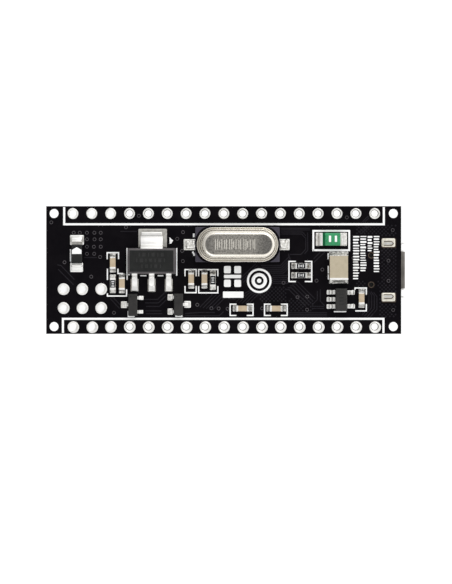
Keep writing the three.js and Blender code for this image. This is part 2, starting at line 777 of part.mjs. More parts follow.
function buildSwitchCover() {
  const { length, width, baseHeight, coverThickness, coverOverhang, stemRadius, clip } = SWITCH;
  const bottom = baseHeight + SEAT_GAP;
  const plate = block(length + 2 * coverOverhang, width, coverThickness, 0, 0, bottom);
  const clipX = length / 2 + SEAT_GAP + coverThickness / 2;
  const clipBottom = bottom + clip.lap - clip.height;
  const clipAt = (side) => block(coverThickness, clip.width, clip.height, side * clipX, 0, clipBottom);
  const clearance = 0.06;
  const hole = bar(stemRadius + clearance, 2 * OVERCUT, 0, 0, bottom - OVERCUT, ROUND_STEPS);
  return cut(join([plate, clipAt(-1), clipAt(1)]), [hole]);
}

function turnedProfile(points) {
  const profile = points.map(([radius, z]) => new THREE.Vector2(radius, z));
  return new THREE.LatheGeometry(profile, ROUND_STEPS).rotateX(Math.PI / 2);
}

const domeTop = SWITCH.floor + SEAT_GAP + SWITCH.domeHeight;

function buildSwitchPlunger() {
  const { flangeRadius, stemRadius, stemTop, baseHeight } = SWITCH;
  const edge = 0.12;
  return turnedProfile([
    [0, domeTop + SEAT_GAP],
    [flangeRadius, domeTop + SEAT_GAP],
    [flangeRadius, baseHeight],
    [stemRadius, baseHeight],
    [stemRadius, stemTop - edge],
    [stemRadius - edge, stemTop],
    [0, stemTop],
  ]);
}

// A shallow bowl of spring sheet, rim down. It flattens when the plunger is pressed.
function buildSwitchDome() {
  const { cavityRadius, floor, domeHeight, domeSheet } = SWITCH;
  const radius = cavityRadius - 4 * SEAT_GAP;
  const bottom = floor + SEAT_GAP;
  const arcSteps = 4;
  const arc = (rise, reach) => {
    const points = [];
    for (let i = 0; i <= arcSteps; i += 1) {
      const share = i / arcSteps;
      points.push([reach * share, bottom + rise * Math.cos((share * Math.PI) / 2)]);
    }
    return points;
  };
  const inner = arc(domeHeight - domeSheet, radius - domeSheet);
  const outer = arc(domeHeight, radius);
  return turnedProfile([...inner, ...outer.reverse()]);
}

function buildSwitchTerminal(side) {
  const { x, width, length, thickness } = TERMINAL;
  return block(width, length, thickness, side * x);
}

onLogicSide('reset_switch_base', buildSwitchBase(), mouldedBlack, SWITCH.x, SWITCH.y);
onLogicSide('reset_switch_cover', buildSwitchCover(), springSteel, SWITCH.x, SWITCH.y);
onLogicSide('reset_switch_plunger', buildSwitchPlunger(), switchCream, SWITCH.x, SWITCH.y);
onLogicSide('reset_switch_dome', buildSwitchDome(), springSteel, SWITCH.x, SWITCH.y);
onLogicSide('reset_switch_terminal_1', buildSwitchTerminal(-1), tinnedMetal, SWITCH.x, SWITCH.y);
onLogicSide('reset_switch_terminal_2', buildSwitchTerminal(1), tinnedMetal, SWITCH.x, SWITCH.y);

// ---------------------------------------------------------------- other logic-side pieces

onLogicSide('microcontroller', flatPack44(), mouldedBlack, -2.6, 0);

const lights = [
  { name: 'led_power', x: 13.2, y: 5.2 },
  { name: 'led_user', x: 13.2, y: -5.2 },
  { name: 'led_transmit', x: 10.4, y: -5.2 },
  { name: 'led_receive', x: 7.6, y: -5.2 },
];
for (const { name, x, y } of lights) {
  onLogicSide(name, chipLight(), diffusedLens, x, y);
}

onLogicSide('resistor_array_1', resistorArray(), resistorGlaze, 10.2, 2.3);
onLogicSide('resistor_array_2', resistorArray(), resistorGlaze, 10.2, -2.3);

const logicCapacitors = [
  { name: 'capacitor_c8', x: 5.6, y: 3.4, turn: UPRIGHT },
  { name: 'capacitor_c9', x: 5.6, y: -1.6, turn: UPRIGHT },
  { name: 'capacitor_c10', x: -10.6, y: 4.9, turn: 0 },
  { name: 'capacitor_c11', x: -10.6, y: -4.9, turn: 0 },
];
for (const { name, x, y, turn } of logicCapacitors) {
  onLogicSide(name, twoTerminalChip(SMALL_CAPACITOR), tanCeramic, x, y, turn);
}

onLogicSide('usb_protector_plus', twoTerminalChip(SMALL_CAPACITOR), ferriteGrey, 15.6, 0.75);
onLogicSide('usb_protector_minus', twoTerminalChip(SMALL_CAPACITOR), ferriteGrey, 15.6, -0.75);
onLogicSide('ferrite_bead', twoTerminalChip(FERRITE_BEAD), ferriteGrey, 16.6, 4.4, UPRIGHT);

export default devBoard;
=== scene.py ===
"""Looks of the microcontroller development board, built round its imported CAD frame.

Shapes are worked out in millimetres and turned into metres when a piece is made. Every part of
the circuit stands on one of the board's two faces, so each is drawn in a local frame whose origin
is under the part's middle and whose +Z points away from the board.
"""

import contextlib
import copy
import math
import random

import bmesh
import bpy
from mathutils import Matrix, Vector


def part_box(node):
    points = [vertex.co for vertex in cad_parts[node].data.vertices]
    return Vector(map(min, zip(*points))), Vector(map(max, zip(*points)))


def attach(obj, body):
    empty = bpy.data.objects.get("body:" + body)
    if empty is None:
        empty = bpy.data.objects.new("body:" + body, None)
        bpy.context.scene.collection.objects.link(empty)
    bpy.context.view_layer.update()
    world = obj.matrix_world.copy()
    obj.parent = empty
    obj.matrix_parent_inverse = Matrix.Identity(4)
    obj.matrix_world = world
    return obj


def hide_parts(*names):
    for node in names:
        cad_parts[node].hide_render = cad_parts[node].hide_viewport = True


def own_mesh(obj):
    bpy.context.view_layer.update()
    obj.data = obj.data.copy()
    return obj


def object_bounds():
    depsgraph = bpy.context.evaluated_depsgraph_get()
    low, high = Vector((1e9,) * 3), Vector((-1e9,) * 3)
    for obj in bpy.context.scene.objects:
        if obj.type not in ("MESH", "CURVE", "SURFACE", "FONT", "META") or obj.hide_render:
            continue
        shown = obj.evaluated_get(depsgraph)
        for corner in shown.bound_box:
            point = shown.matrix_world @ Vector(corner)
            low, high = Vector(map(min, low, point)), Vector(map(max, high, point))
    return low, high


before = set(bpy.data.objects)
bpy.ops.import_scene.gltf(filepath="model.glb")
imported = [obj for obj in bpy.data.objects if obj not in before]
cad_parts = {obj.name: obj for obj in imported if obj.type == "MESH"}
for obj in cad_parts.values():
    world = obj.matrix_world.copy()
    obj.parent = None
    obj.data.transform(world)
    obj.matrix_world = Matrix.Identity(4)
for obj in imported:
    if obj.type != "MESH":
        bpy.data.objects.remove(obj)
cad_low, cad_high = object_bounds()

MM = 0.001
BOARD_BODY = "board"
BUTTON_BODY = "reset_button"

PITCH = 2.54
HEADER_HOLES = 17
HEADER_ROW_Y = 3 * PITCH
HOLE_RADIUS = 0.5
LAND_RADIUS = 0.735
PROGRAMMING_CENTRE = (-19.07, -3.83)
PROGRAMMING_LAND_RADIUS = 0.8
CORNER_HOLE = (9 * PITCH, HEADER_ROW_Y)
CORNER_HOLE_RADIUS = 0.62
PEG_X, PEG_Y, PEG_HOLE_RADIUS = 19.87, 1.98, 0.31
TAB_X, TAB_Y = 22.2, 3.575
SOCKET_SHEET = 0.25
BOARD_THICKNESS = 1.6
MASK_RELIEF = 0.016  # how far copper under the solder mask stands up
INK = 0.034  # height of the white print over the bare mask
INK_EDGE = 0.012
STAND_OFF = 0.02  # gap between the board and the bodies soldered to it
SEED = 11
ROUTE_WIDTH, FAN_SPREAD = 0.12, 1.275
DOT_SPACING, VIA_CLEARANCE = 0.52, 0.45
FRAME_LINE, BRACKET_LINE, LOGIC_LINE = 0.28, 0.17, 0.18  # widths of the white lines
LEGEND_TOP = 4.58
# Sharp edges are made paler through this attribute: partly worn edges, partly a painted edge highlight.
EDGE_WEAR_AND_SHEEN = "edge_wear_and_sheen"
BLUNT_ANGLE, SHARP_ANGLE = math.radians(20), math.radians(50)
QUARTER = math.pi / 2
SIDES = (-1, 1)
CORNERS = [(sx, sy) for sx in SIDES for sy in SIDES]
LEAD_ROW = [i * 0.8 for i in range(-5, 6)]  # where a side's leads stand on the microcontroller
LIGHTS = ("led_power", "led_user", "led_transmit", "led_receive")


def box_mm(node):
    low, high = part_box(node)
    return low / MM, high / MM


def size_mm(node):
    low, high = box_mm(node)
    return high - low


def place(x, y, turn=0.0):
    """A move along the board's face, then a turn about its normal."""
    return Matrix.Translation((x, y, 0)) @ Matrix.Rotation(turn, 4, "Z")


BOARD_LOW, BOARD_HIGH = box_mm("circuit_board")
UNDERSIDE_Z = BOARD_LOW.z
SUPPLY_Z = UNDERSIDE_Z + BOARD_THICKNESS
SUPPLY_FACE = Matrix.Translation((0, 0, SUPPLY_Z))
LOGIC_FACE = Matrix.Translation((0, 0, UNDERSIDE_Z)) @ Matrix.Rotation(math.pi, 4, "X")
FACES = (("supply", SUPPLY_FACE, 1), ("logic", LOGIC_FACE, -1))


def put(name, data):
    """A new object in the scene."""
    obj = bpy.data.objects.new(name, data)
    bpy.context.scene.collection.objects.link(obj)
    return obj


def seat(node, turn=0.0):
    """The local frame of a part: under the middle of its box, on the face it is soldered to."""
    low, high = box_mm(node)
    middle = (low + high) / 2
    if middle.z > SUPPLY_Z:
        return SUPPLY_FACE @ place(middle.x, middle.y, turn)
    return LOGIC_FACE @ place(middle.x, -middle.y, turn)


def heights(node):
    """How far the nearest and farthest points of a part are from the face it is soldered to."""
    low, high = box_mm(node)
    if (low.z + high.z) / 2 > SUPPLY_Z:
        return low.z - SUPPLY_Z, high.z - SUPPLY_Z
    return UNDERSIDE_Z - high.z, UNDERSIDE_Z - low.z


# ---- materials

MIX_A, MIX_B, MIX_RESULT = 6, 7, 2  # where a colour mix node keeps its colour sockets


def add_node(tree, kind, inputs, **settings):
    """A new node. Each input is a number, a vector, a colour or another node's output."""
    node = tree.nodes.new("ShaderNode" + kind)
    for key, value in settings.items():
        setattr(node, key, value)
    for key, value in inputs.items():
        feed(tree, node.inputs[key], value)
    return node


def feed(tree, socket, value):
    if isinstance(value, bpy.types.NodeSocket):
        tree.links.new(value, socket)
    else:
        socket.default_value = (*value, 1.0) if socket.type == "RGBA" else value


def scaled(color, factor):
    return tuple(factor * c for c in color)


class Shader:
    """Builds one material's nodes. Texture positions are in millimetres on the object."""

    def __init__(self, name):
        self.material = bpy.data.materials.new(name)
        self.material.use_nodes = True
        self.tree = self.material.node_tree
        self.surface = self.tree.nodes["Principled BSDF"]
        where = self.node("TexCoord", {}).outputs["Object"]
        scale = self.node("VectorMath", {0: where, "Scale": 1 / MM}, operation="SCALE")
        self.place = scale.outputs[0]

    def node(self, kind, inputs, **settings):
        return add_node(self.tree, kind, inputs, **settings)

    def noise(self, scale, detail=3.0, stretch=None):
        where = self.place
        if stretch:
            where = self.node("VectorMath", {0: where, 1: stretch}, operation="MULTIPLY").outputs[0]
        inputs = {"Scale": scale, "Detail": detail, "Roughness": 0.55, "Vector": where}
        return self.node("TexNoise", inputs).outputs["Fac"]

    def speckle(self, scale):
        return self.node("TexVoronoi", {"Scale": scale, "Vector": self.place}).outputs["Distance"]

    def weave(self, scale):
        """Two crossed sets of threads, as the glass cloth shows through the mask."""
        inputs = {"Scale": scale, "Distortion": 0.6, "Vector": self.place}
        waves = [self.node("TexWave", inputs, bands_direction=way).outputs["Fac"] for way in "XY"]
        return self.math("MULTIPLY", *waves)

    def edges(self):
        """Unevenly white on sharp outer edges, black elsewhere: worn edges with a painted edge highlight
        over them.
        """
        edge_wear_and_sheen = self.node("Attribute", {}, attribute_name=EDGE_WEAR_AND_SHEEN).outputs["Fac"]
        return self.math("MULTIPLY", edge_wear_and_sheen, self.levels(self.noise(4.0), 0.35, 0.65, 0.45, 1.0))

    def levels(self, value, low, high, out_low=0.0, out_high=1.0):
        ends = {"From Min": low, "From Max": high, "To Min": out_low, "To Max": out_high}
        return self.node("MapRange", {"Value": value, **ends}).outputs["Result"]

    def math(self, operation, first, second):
        return self.node("Math", {0: first, 1: second}, operation=operation).outputs[0]

    def mix(self, value, span, first, second):
        """The second colour laid over the first, by a share that the span maps from the value."""
        share = self.levels(value, *span) if span else value
        inputs = {"Factor": share, MIX_A: first, MIX_B: second}
        return self.node("Mix", inputs, data_type="RGBA").outputs[MIX_RESULT]

    def roughness(self, value, low, spread):
        self.set(Roughness=self.levels(value, 0.3, 0.7, low, low + spread))

    def bump(self, value, strength, distance):
        """Height from a texture; distance is in millimetres."""
        inputs = {"Strength": strength, "Distance": distance * MM, "Height": value}
        normal = self.surface.inputs["Normal"]
        if normal.is_linked:
            inputs["Normal"] = normal.links[0].from_socket
        self.set(Normal=self.node("Bump", inputs).outputs["Normal"])

    def set(self, **values):
        for key, value in values.items():
            feed(self.tree, self.surface.inputs[key.replace("_", " ")], value)


def solder_mask(name, dark, light, shine, gloss=0.15):
    s = Shader(name)
    tone = s.mix(s.noise(0.35, 4.0), (0.35, 0.68), dark, light)
    grain = s.noise(9.0, 2.0)
    s.set(Base_Color=s.mix(grain, (0.55, 0.8, 0.0, 0.35), tone, scaled(light, 1.9)))
    s.roughness(s.noise(1.3), shine, 0.14)
    s.bump(s.weave(0.42), 0.12, 0.02)
    s.bump(s.noise(3.5, 2.0), 0.1, 0.02)
    s.set(Specular_IOR_Level=gloss)
    return s.material


def laminate_edge():
    s = Shader("laminate_edge")
    layers = s.noise(3.0, stretch=(0.35, 0.35, 7.0))
    fibre = s.noise(14.0, stretch=(0.5, 0.5, 2.0))
    tone = s.mix(layers, (0.38, 0.66), (0.007, 0.0055, 0.005), (0.026, 0.02, 0.015))
    s.set(Base_Color=s.mix(fibre, (0.55, 0.8, 0.0, 0.5), tone, (0.08, 0.062, 0.044)))
    s.roughness(fibre, 0.6, 0.25)
    s.bump(layers, 0.35, 0.04)
    s.bump(fibre, 0.4, 0.03)
    s.set(Specular_IOR_Level=0.15)
    return s.material


def white_ink():
    s = Shader("white_ink")
    patchy = s.noise(2.2, 4.0)
    tone = s.mix(patchy, (0.3, 0.7), (0.965, 0.97, 0.965), (0.99, 0.995, 0.99))
    s.set(Base_Color=s.mix(s.speckle(11.0), (0.0, 0.16, 0.18, 0.0), tone, (0.6, 0.6, 0.62)))
    s.roughness(patchy, 0.45, 0.2)
    s.bump(s.noise(8.0), 0.25, 0.02)
    return s.material


def metal(name, bright, dull, shine, grain=5.0, stretch=None, relief=0.2, edge_wear_and_sheen=None, patch=1.1):
    s = Shader(name)
    tone = s.mix(s.noise(patch, 4.0), (0.35, 0.7), bright, dull)
    fine = s.noise(grain, stretch=stretch)
    # The edge colour makes sharp edges paler: worn metal and a painted edge highlight.
    if edge_wear_and_sheen:
        tone = s.mix(s.edges(), None, tone, edge_wear_and_sheen)
    s.roughness(fine, shine, 0.16)
    s.bump(fine, relief, 0.015)
    s.set(Base_Color=tone, Metallic=1.0)
    return s.material


def crystal_metal(name, dull, bright, shine, middle_tone=None):
    """Drawn sheet: fine lines across it, and lines round the wall from the die."""
    s = Shader(name)
    across = s.noise(7.0, 4.0, (2.6, 0.12, 1.0))
    around = s.noise(6.0, stretch=(0.15, 0.15, 4.0))
    cloud = s.noise(0.9)
    grains = s.noise(4.6)
    tone = s.mix(across, (0.35, 0.68, 0.35, 1.0), dull, bright)
    tone = s.mix(cloud, (0.4, 0.72, 0.0, 0.4), tone, dull)
    # A middle tone, where given, makes the face lighter towards its middle, with dark grains over it.
    if middle_tone:
        low, high = box_mm("crystal_can")
        middle = (low.x + high.x) / 2 - 0.3
        along = s.node("SeparateXYZ", {0: s.place}).outputs["X"]
        reach = s.math("ABSOLUTE", s.math("SUBTRACT", along, middle), 0.0)
        tone = s.mix(reach, (2.4, 4.0, 0.9, 0.0), tone, middle_tone)
        tone = s.mix(grains, (0.36, 0.6, 0.6, 0.0), tone, scaled(dull, 0.4))
    s.roughness(across, shine, 0.12)
    s.bump(across, 0.08, 0.012)
    s.bump(around, 0.12, 0.012)
    s.set(Base_Color=tone, Metallic=1.0)
    return s.material


def moulding(name, dark, light, shine=0.6, filler=13.0, worn_and_lit_edge=(0.12, 0.12, 0.12), gloss=0.12):
    """Mould compound: dark resin with fine filler grains, paler where its edges rub and where a painted
    edge highlight lies.
    """
    s = Shader(name)
    tone = s.mix(s.noise(0.8), (0.3, 0.7), dark, light)
    grains = s.speckle(filler)
    tone = s.mix(grains, (0.05, 0.3, 0.4, 0.0), tone, scaled(light, 2.2))
    s.set(Base_Color=s.mix(s.edges(), (0.0, 1.0, 0.0, 0.6), tone, worn_and_lit_edge))
    s.roughness(s.noise(6.0), shine, 0.18)
    s.bump(s.noise(16.0), 0.35, 0.02)
    s.bump(grains, 0.15, 0.015)
    s.set(Specular_IOR_Level=gloss)
    return s.material


def ceramic(name, base, dark, pale):
    s = Shader(name)
    cloud = s.noise(1.7, 4.0)
    grains = s.noise(17.0, 2.0)
    tone = s.mix(cloud, (0.32, 0.7), base, dark)
    tone = s.mix(grains, (0.5, 0.75, 0.0, 0.45), tone, pale)
    # Pale on sharp edges: worn edges and a painted edge highlight.
    s.set(Base_Color=s.mix(s.edges(), (0.0, 1.0, 0.0, 0.5), tone, pale))
    s.roughness(cloud, 0.42, 0.16)
    s.bump(grains, 0.25, 0.02)
    return s.material


def lacquer(name, base, dark, shine=0.22, coat=0.4, gloss=0.5):
    s = Shader(name)
    s.set(Base_Color=s.mix(s.noise(1.4), (0.35, 0.7), base, dark))
    s.roughness(s.noise(4.0), shine, 0.14)
    s.bump(s.noise(5.0), 0.2, 0.02)
    s.set(Coat_Weight=coat, Coat_Roughness=0.15, Specular_IOR_Level=gloss)
    return s.material


def resin_lens():
    s = Shader("resin_lens")
    cloud = s.noise(3.0)
    s.set(Base_Color=s.mix(cloud, (0.3, 0.7), (0.83, 0.8, 0.62), (0.92, 0.9, 0.78)))
    s.roughness(cloud, 0.16, 0.1)
    s.bump(s.noise(12.0, 2.0), 0.1, 0.01)
    s.set(Subsurface_Weight=0.4, Subsurface_Scale=0.0004, Coat_Weight=0.5)
    return s.material


def clear_quartz():
    s = Shader("clear_quartz")
    cloud = s.noise(1.5)
    s.set(Base_Color=s.mix(cloud, (0.3, 0.7), (0.86, 0.89, 0.9), (0.95, 0.96, 0.97)))
    s.roughness(cloud, 0.04, 0.08)
    s.set(Transmission_Weight=0.85, IOR=1.54)
    return s.material


MASK = solder_mask("solder_mask", (0.0014, 0.0008, 0.002), (0.0036, 0.0026, 0.004), 0.3, 0.08)
MASK_COPPER = solder_mask("mask_over_copper", (0.01, 0.0085, 0.0125), (0.016, 0.0142, 0.018), 0.27)
MASK_DOT = solder_mask("mask_over_dots", (0.009, 0.0078, 0.0115), (0.0155, 0.0138, 0.0172), 0.27)
MASK_VIA = solder_mask("mask_over_via", (0.05, 0.045, 0.05), (0.095, 0.087, 0.095), 0.25, 0.3)
EDGE = laminate_edge()
BARE = moulding("bare_laminate", (0.05, 0.034, 0.024), (0.085, 0.06, 0.042), 0.5)
WHITE = white_ink()
SOLDER = metal("solder", (0.97, 0.965, 0.94), (0.9, 0.89, 0.86), 0.38, 3.2, relief=0.35)
FLUXED = metal(
    "fluxed_solder", (0.92, 0.89, 0.8), (0.7, 0.66, 0.56), 0.38, relief=0.6, patch=2.2)
# Rough solder with dark patches painted in: a shaded copy of the solder for ends that the light leaves
# dark.
GRAINY_SHADED_SOLDER = metal(
    "grainy_solder_painted_shade", (0.88, 0.87, 0.83), (0.13, 0.125, 0.12), 0.24, 4.6, relief=1.2, patch=3.6)
SPECKLED = metal(
    "speckled_solder", (0.98, 0.97, 0.94), (0.66, 0.645, 0.6), 0.4, 4.6, relief=0.55, patch=3.4)
SHADED = metal("shaded_seam", (0.1, 0.094, 0.082), (0.055, 0.05, 0.044), 0.5, 6.0, relief=0.3)
SPARKLING = metal(
    "sparkling_solder", (0.98, 0.97, 0.94), (0.36, 0.35, 0.325), 0.26, 4.6, relief=1.1, patch=3.0)
# Tin of the bore walls, darker as painted shade inside the holes.
SHADED_BORE_TIN = metal("bore_tin_painted_shade", (0.3, 0.285, 0.255), (0.2, 0.19, 0.17), 0.4, 6.0, relief=0.4)
TIN = metal("tin_plate", (0.96, 0.955, 0.935), (0.88, 0.87, 0.845), 0.48, 9.0, relief=0.25)
DULL_TIN = metal(
    "dull_tin", (0.56, 0.545, 0.51), (0.4, 0.385, 0.36), 0.46, 9.0, relief=0.4, patch=2.6)
CAN = crystal_metal("crystal_metal", (0.74, 0.69, 0.6), (0.96, 0.92, 0.84), 0.16)
# The can's flat top: a darker copy of the can metal, as painted shade, lighter towards its middle.
CAN_TOP_SHADED = crystal_metal(
    "crystal_face_painted_dark", (0.22, 0.21, 0.195), (0.36, 0.345, 0.32), 0.3, (0.56, 0.53, 0.48))
CAN_MARK = metal("etched_metal", (0.84, 0.81, 0.74), (0.68, 0.65, 0.58), 0.5, 12.0, relief=0.3)
CASE = moulding("moulding_dark", (0.014, 0.0145, 0.0145), (0.021, 0.0215, 0.021))
CASE_GREY = moulding("moulding_grey", (0.028, 0.027, 0.0265), (0.041, 0.0395, 0.0385))
CASE_MARK = moulding("laser_mark", (0.018, 0.018, 0.018), (0.026, 0.026, 0.026), 0.7)
# Upper walls of the big regulator's case: a lighter copy of the moulding, painted light where the light
# from above falls.
CASE_LIT_WALL = moulding("moulding_wall_painted_light", (0.1, 0.092, 0.096), (0.14, 0.13, 0.133), 0.7)
PLATE = moulding("crystal_plate", (0.05, 0.046, 0.062), (0.066, 0.06, 0.08), 0.5)
SOCKET_PLASTIC = moulding(
    "socket_plastic", (0.008, 0.008, 0.008), (0.014, 0.014, 0.014), 0.45, gloss=0.4)
TAN = ceramic("tan_ceramic", (0.54, 0.43, 0.3), (0.44, 0.34, 0.22), (0.62, 0.52, 0.38))
PALE = ceramic("pale_ceramic", (0.5, 0.435, 0.315), (0.44, 0.38, 0.27), (0.56, 0.5, 0.39))
ALUMINA = ceramic("alumina", (0.82, 0.81, 0.77), (0.7, 0.69, 0.65), (0.92, 0.91, 0.88))
FERRITE = ceramic("ferrite", (0.06, 0.06, 0.064), (0.035, 0.035, 0.038), (0.13, 0.13, 0.135))
GLAZE = lacquer("black_glaze", (0.022, 0.024, 0.028), (0.012, 0.013, 0.016))
GREEN = lacquer("green_lacquer", (0.036, 0.33, 0.13), (0.024, 0.24, 0.092))
GREEN_DARK = lacquer("green_shade", (0.012, 0.11, 0.045), (0.008, 0.08, 0.032), 0.5, 0.0, 0.05)
STEEL = metal(
    "plated_steel", (0.74, 0.74, 0.72), (0.58, 0.575, 0.56), 0.26, 6.0, (0.2, 3.0, 3.0), 0.15,
    (0.9, 0.9, 0.88))
# Steel of the lip along the board, painted darker as the shade it lies in.
SHADED_LIP_STEEL = metal(
    "shaded_steel", (0.27, 0.255, 0.235), (0.2, 0.19, 0.175), 0.5, 6.0, (3.0, 0.2, 1.0))
SPRING = metal("spring_steel", (0.62, 0.63, 0.64), (0.48, 0.49, 0.5), 0.3, 6.0, (3.0, 0.2, 1.0))
GOLD = metal("gold_plate", (0.86, 0.62, 0.24), (0.7, 0.48, 0.18), 0.24, 8.0, relief=0.1)
CREAM = moulding(
    "button_plastic", (0.62, 0.59, 0.5), (0.72, 0.69, 0.6), 0.38, 9.0, (0.85, 0.83, 0.76))
LENS = resin_lens()
QUARTZ = clear_quartz()


# ---- shapes


def rounded_rectangle(length, width, radius, steps=4):
    """Corner arcs joined by straight sides, anticlockwise from the +X side."""
    radius = max(min(radius, length / 2, width / 2), 1e-3)
    points = []
    for quadrant, (sx, sy) in enumerate(((1, 1), (-1, 1), (-1, -1), (1, -1))):
        for step in range(steps + 1):
            angle = (quadrant + step / steps) * QUARTER
            x = sx * (length / 2 - radius) + radius * math.cos(angle)
            y = sy * (width / 2 - radius) + radius * math.sin(angle)
            points.append((x, y))
    return points


def moved(outline, x, y):
    return [(x + px, y + py) for px, py in outline]


def tapered(length, width, radius, x=0.0, y=0.0, steps=4):
    """A rounded rectangle as a function of how far it is drawn in."""

    def outline(inset):
        corner = max(radius - inset, 0.02)
        return moved(rounded_rectangle(length - 2 * inset, width - 2 * inset, corner, steps), x, y)

    outline.reach = min(length, width) / 2
    return outline


def circle(radius, steps=32, x=0.0, y=0.0):
    turn = 2 * math.pi / steps
    return [(x + radius * math.cos(i * turn), y + radius * math.sin(i * turn)) for i in range(steps)]


def grown(outline, distance):
    """The outline moved outwards by distance, or inwards if it is negative."""
    points = [Vector(p) for p in outline]
    result = []
    for before, here, after in zip(points[-1:] + points, points, points[1:] + points[:1]):
        first = (here - before).normalized()
        second = (after - here).normalized()
        side = Vector((first.y, -first.x))
        normal = side + Vector((second.y, -second.x))
        if normal.length >= 1e-6:
            normal.normalize()
            here = here + normal * (distance / max(normal.dot(side), 0.5))
        result.append(tuple(here))
    return result


def stroke(path, width):
    """The outline of a line of the given width, mitred at its bends."""
    points = [Vector(p) for p in path]
    runs = [(after - here).normalized() for here, after in zip(points, points[1:])]
    left, right = [], []
    for here, first, second in zip(points, runs[:1] + runs, runs + runs[-1:]):
        normal = Vector((-first.y - second.y, first.x + second.x)).normalized()
        lean = max(normal.dot(Vector((-first.y, first.x))), 0.35)
        offset = normal * (width / 2 / lean)
        left.append(tuple(here + offset))
        right.append(tuple(here - offset))
    return right + left[::-1]


def cut_corner(before, corner, after, reach, steps):
    """An arc-like curve that leaves and rejoins the straight lines at reach from the corner."""
    start = corner + (before - corner).normalized() * reach
    end = corner + (after - corner).normalized() * reach
    shares = [step / steps for step in range(steps + 1)]
    return [start * (1 - t) ** 2 + corner * 2 * t * (1 - t) + end * t * t for t in shares]


def bent_path(points, radius):
    """A polyline with its inner corners cut."""
    points = [Vector(p) for p in points]
    path = [points[0]]
    for before, corner, after in zip(points, points[1:], points[2:]):
        reach = min(radius, (corner - before).length * 0.45, (after - corner).length * 0.45)
        path += cut_corner(before, corner, after, reach, 4)
    return path + [points[-1]]


class Solid:
    """Collects closed solids that make up one piece, in millimetres."""

    def __init__(self, matrix, material):
        self.matrix = matrix
        self.material = material
        self.points = []
        self.faces = []
        self.materials = []
        self.smooth = []

    def view(self, matrix):
        """The same solid, drawn on in another frame."""
        other = copy.copy(self)
        other.matrix = matrix
        return other

    def shifted(self, x, y, turn=0.0):
        return self.view(self.matrix @ place(x, y, turn))

    def end(self, side):
        """A view whose +X runs out of the end on the given side."""
        return self.shifted(0, 0, 0 if side > 0 else math.pi)

    def ends(self, sides=SIDES):
        return [(side, self.end(side)) for side in sides]

    def rings(self, rings, material=None, smooth=True, loop=False):
        """A solid through rings of equal length. Ends are capped unless the rings join up."""
        count = len(rings[0])
        start = len(self.points)
        self.points += [self.matrix @ Vector(p) for ring in rings for p in ring]
        faces = []
        for level in range(len(rings) if loop else len(rings) - 1):
            near = start + level * count
            far = start + (level + 1) % len(rings) * count
            for i in range(count):
                j = (i + 1) % count
                faces.append((near + i, near + j, far + j, far + i))
        self.smooth += [smooth] * len(faces)
        if not loop:
            last = len(self.points) - count
            faces.append(tuple(reversed(range(start, start + count))))
            faces.append(tuple(range(last, last + count)))
            self.smooth += [False, False]
        self.faces += faces
        self.materials += [material or self.material] * len(faces)

    def stack(self, outline, levels, material=None, smooth=True):
        """A solid whose section at each (inset, z) level is the outline drawn in by the inset."""
        rings = []
        for inset, z in levels:
            ring = outline(inset) if callable(outline) else grown(outline, -inset)
            rings.append([(x, y, z) for x, y in ring])
        self.rings(rings, material, smooth)

    def slab(self, outline, bottom, top, edge=0.02, material=None, smooth=False):
        """A plate whose upper and lower edges are rounded off."""
        edge = min(edge, (top - bottom) * 0.45)
        soft = 0.3 * edge
        levels = [(edge, bottom), (soft, bottom + soft), (0, bottom + edge)]
        levels += [(0, top - edge), (soft, top - soft), (edge, top)]
        inner = min(edge + 0.14, 0.8 * getattr(outline, "reach", 0.0))
        if smooth and inner > edge:  # more rings keep the worn, highlight-painted edges out of the middle of a face
            half = (edge + inner) / 2
            levels = [(inner, bottom), (half, bottom)] + levels + [(half, top), (inner, top)]
        self.stack(outline, levels, material, smooth)

    def brick(self, length, width, bottom, top, x=0.0, y=0.0, corner=0.05, edge=0.03, material=None):
        self.slab(tapered(length, width, corner, x, y, 3), bottom, top, edge, material, smooth=True)

    def turned(self, profile, x=0.0, y=0.0, steps=32, material=None, loop=False):
        """A solid of revolution about an upright axis from (radius, z) points."""
        rings = []
        for radius, z in profile:
            ring = circle(max(radius, 1e-4), steps, x, y)
            rings.append([(px, py, z) for px, py in ring])
        self.rings(rings, material, True, loop)

    def strip(self, path, width, thickness, edge=0.02, narrow=1.0, material=None):
        """Sheet metal bent along a path of (x, z) points, centred on Y = 0."""
        section = rounded_rectangle(width, thickness, edge, 2)[::-1]
        rings = []
        last = len(path) - 1
        for i, here in enumerate(path):
            along = Vector(path[min(i + 1, last)]) - Vector(path[max(i - 1, 0)])
            along.normalize()
            share = 1 + (narrow - 1) * i / last
            rings.append([
                (here[0] - along.y * lift, across * share, here[1] + along.x * lift)
                for across, lift in section
            ])
        self.rings(rings, material)

    def piece(self, name, slot, node=None, body=BOARD_BODY):
        mesh = bpy.data.meshes.new(name)
        mesh.from_pydata([p * MM for p in self.points], [], self.faces)
        used = list(dict.fromkeys(self.materials))
        for polygon, material, smooth in zip(mesh.polygons, self.materials, self.smooth):
            polygon.material_index = used.index(material)
            polygon.use_smooth = smooth
        return finish_piece(name, mesh, used, node, body)


@contextlib.contextmanager
def editing(mesh):
    """A mesh opened for changes, with its normals turned outwards."""
    work = bmesh.new()
    work.from_mesh(mesh)
    bmesh.ops.recalc_face_normals(work, faces=work.faces)
    yield work
    work.to_mesh(mesh)
    work.free()


def mark_edge_wear_and_sheen(work):
    """Note how sharp the outer edges at each vertex are, for the materials to turn paler there, as worn
    edges and a painted edge highlight.
    """
    edge_wear_and_sheen = work.verts.layers.float.new(EDGE_WEAR_AND_SHEEN)
    for vert in work.verts:
        sharpest = 0.0
        for edge in vert.link_edges:
            if len(edge.link_faces) == 2 and edge.is_convex:
                sharpest = max(sharpest, edge.calc_face_angle(0.0))
        vert[edge_wear_and_sheen] = min(max(sharpest - BLUNT_ANGLE, 0.0) / (SHARP_ANGLE - BLUNT_ANGLE), 1.0)


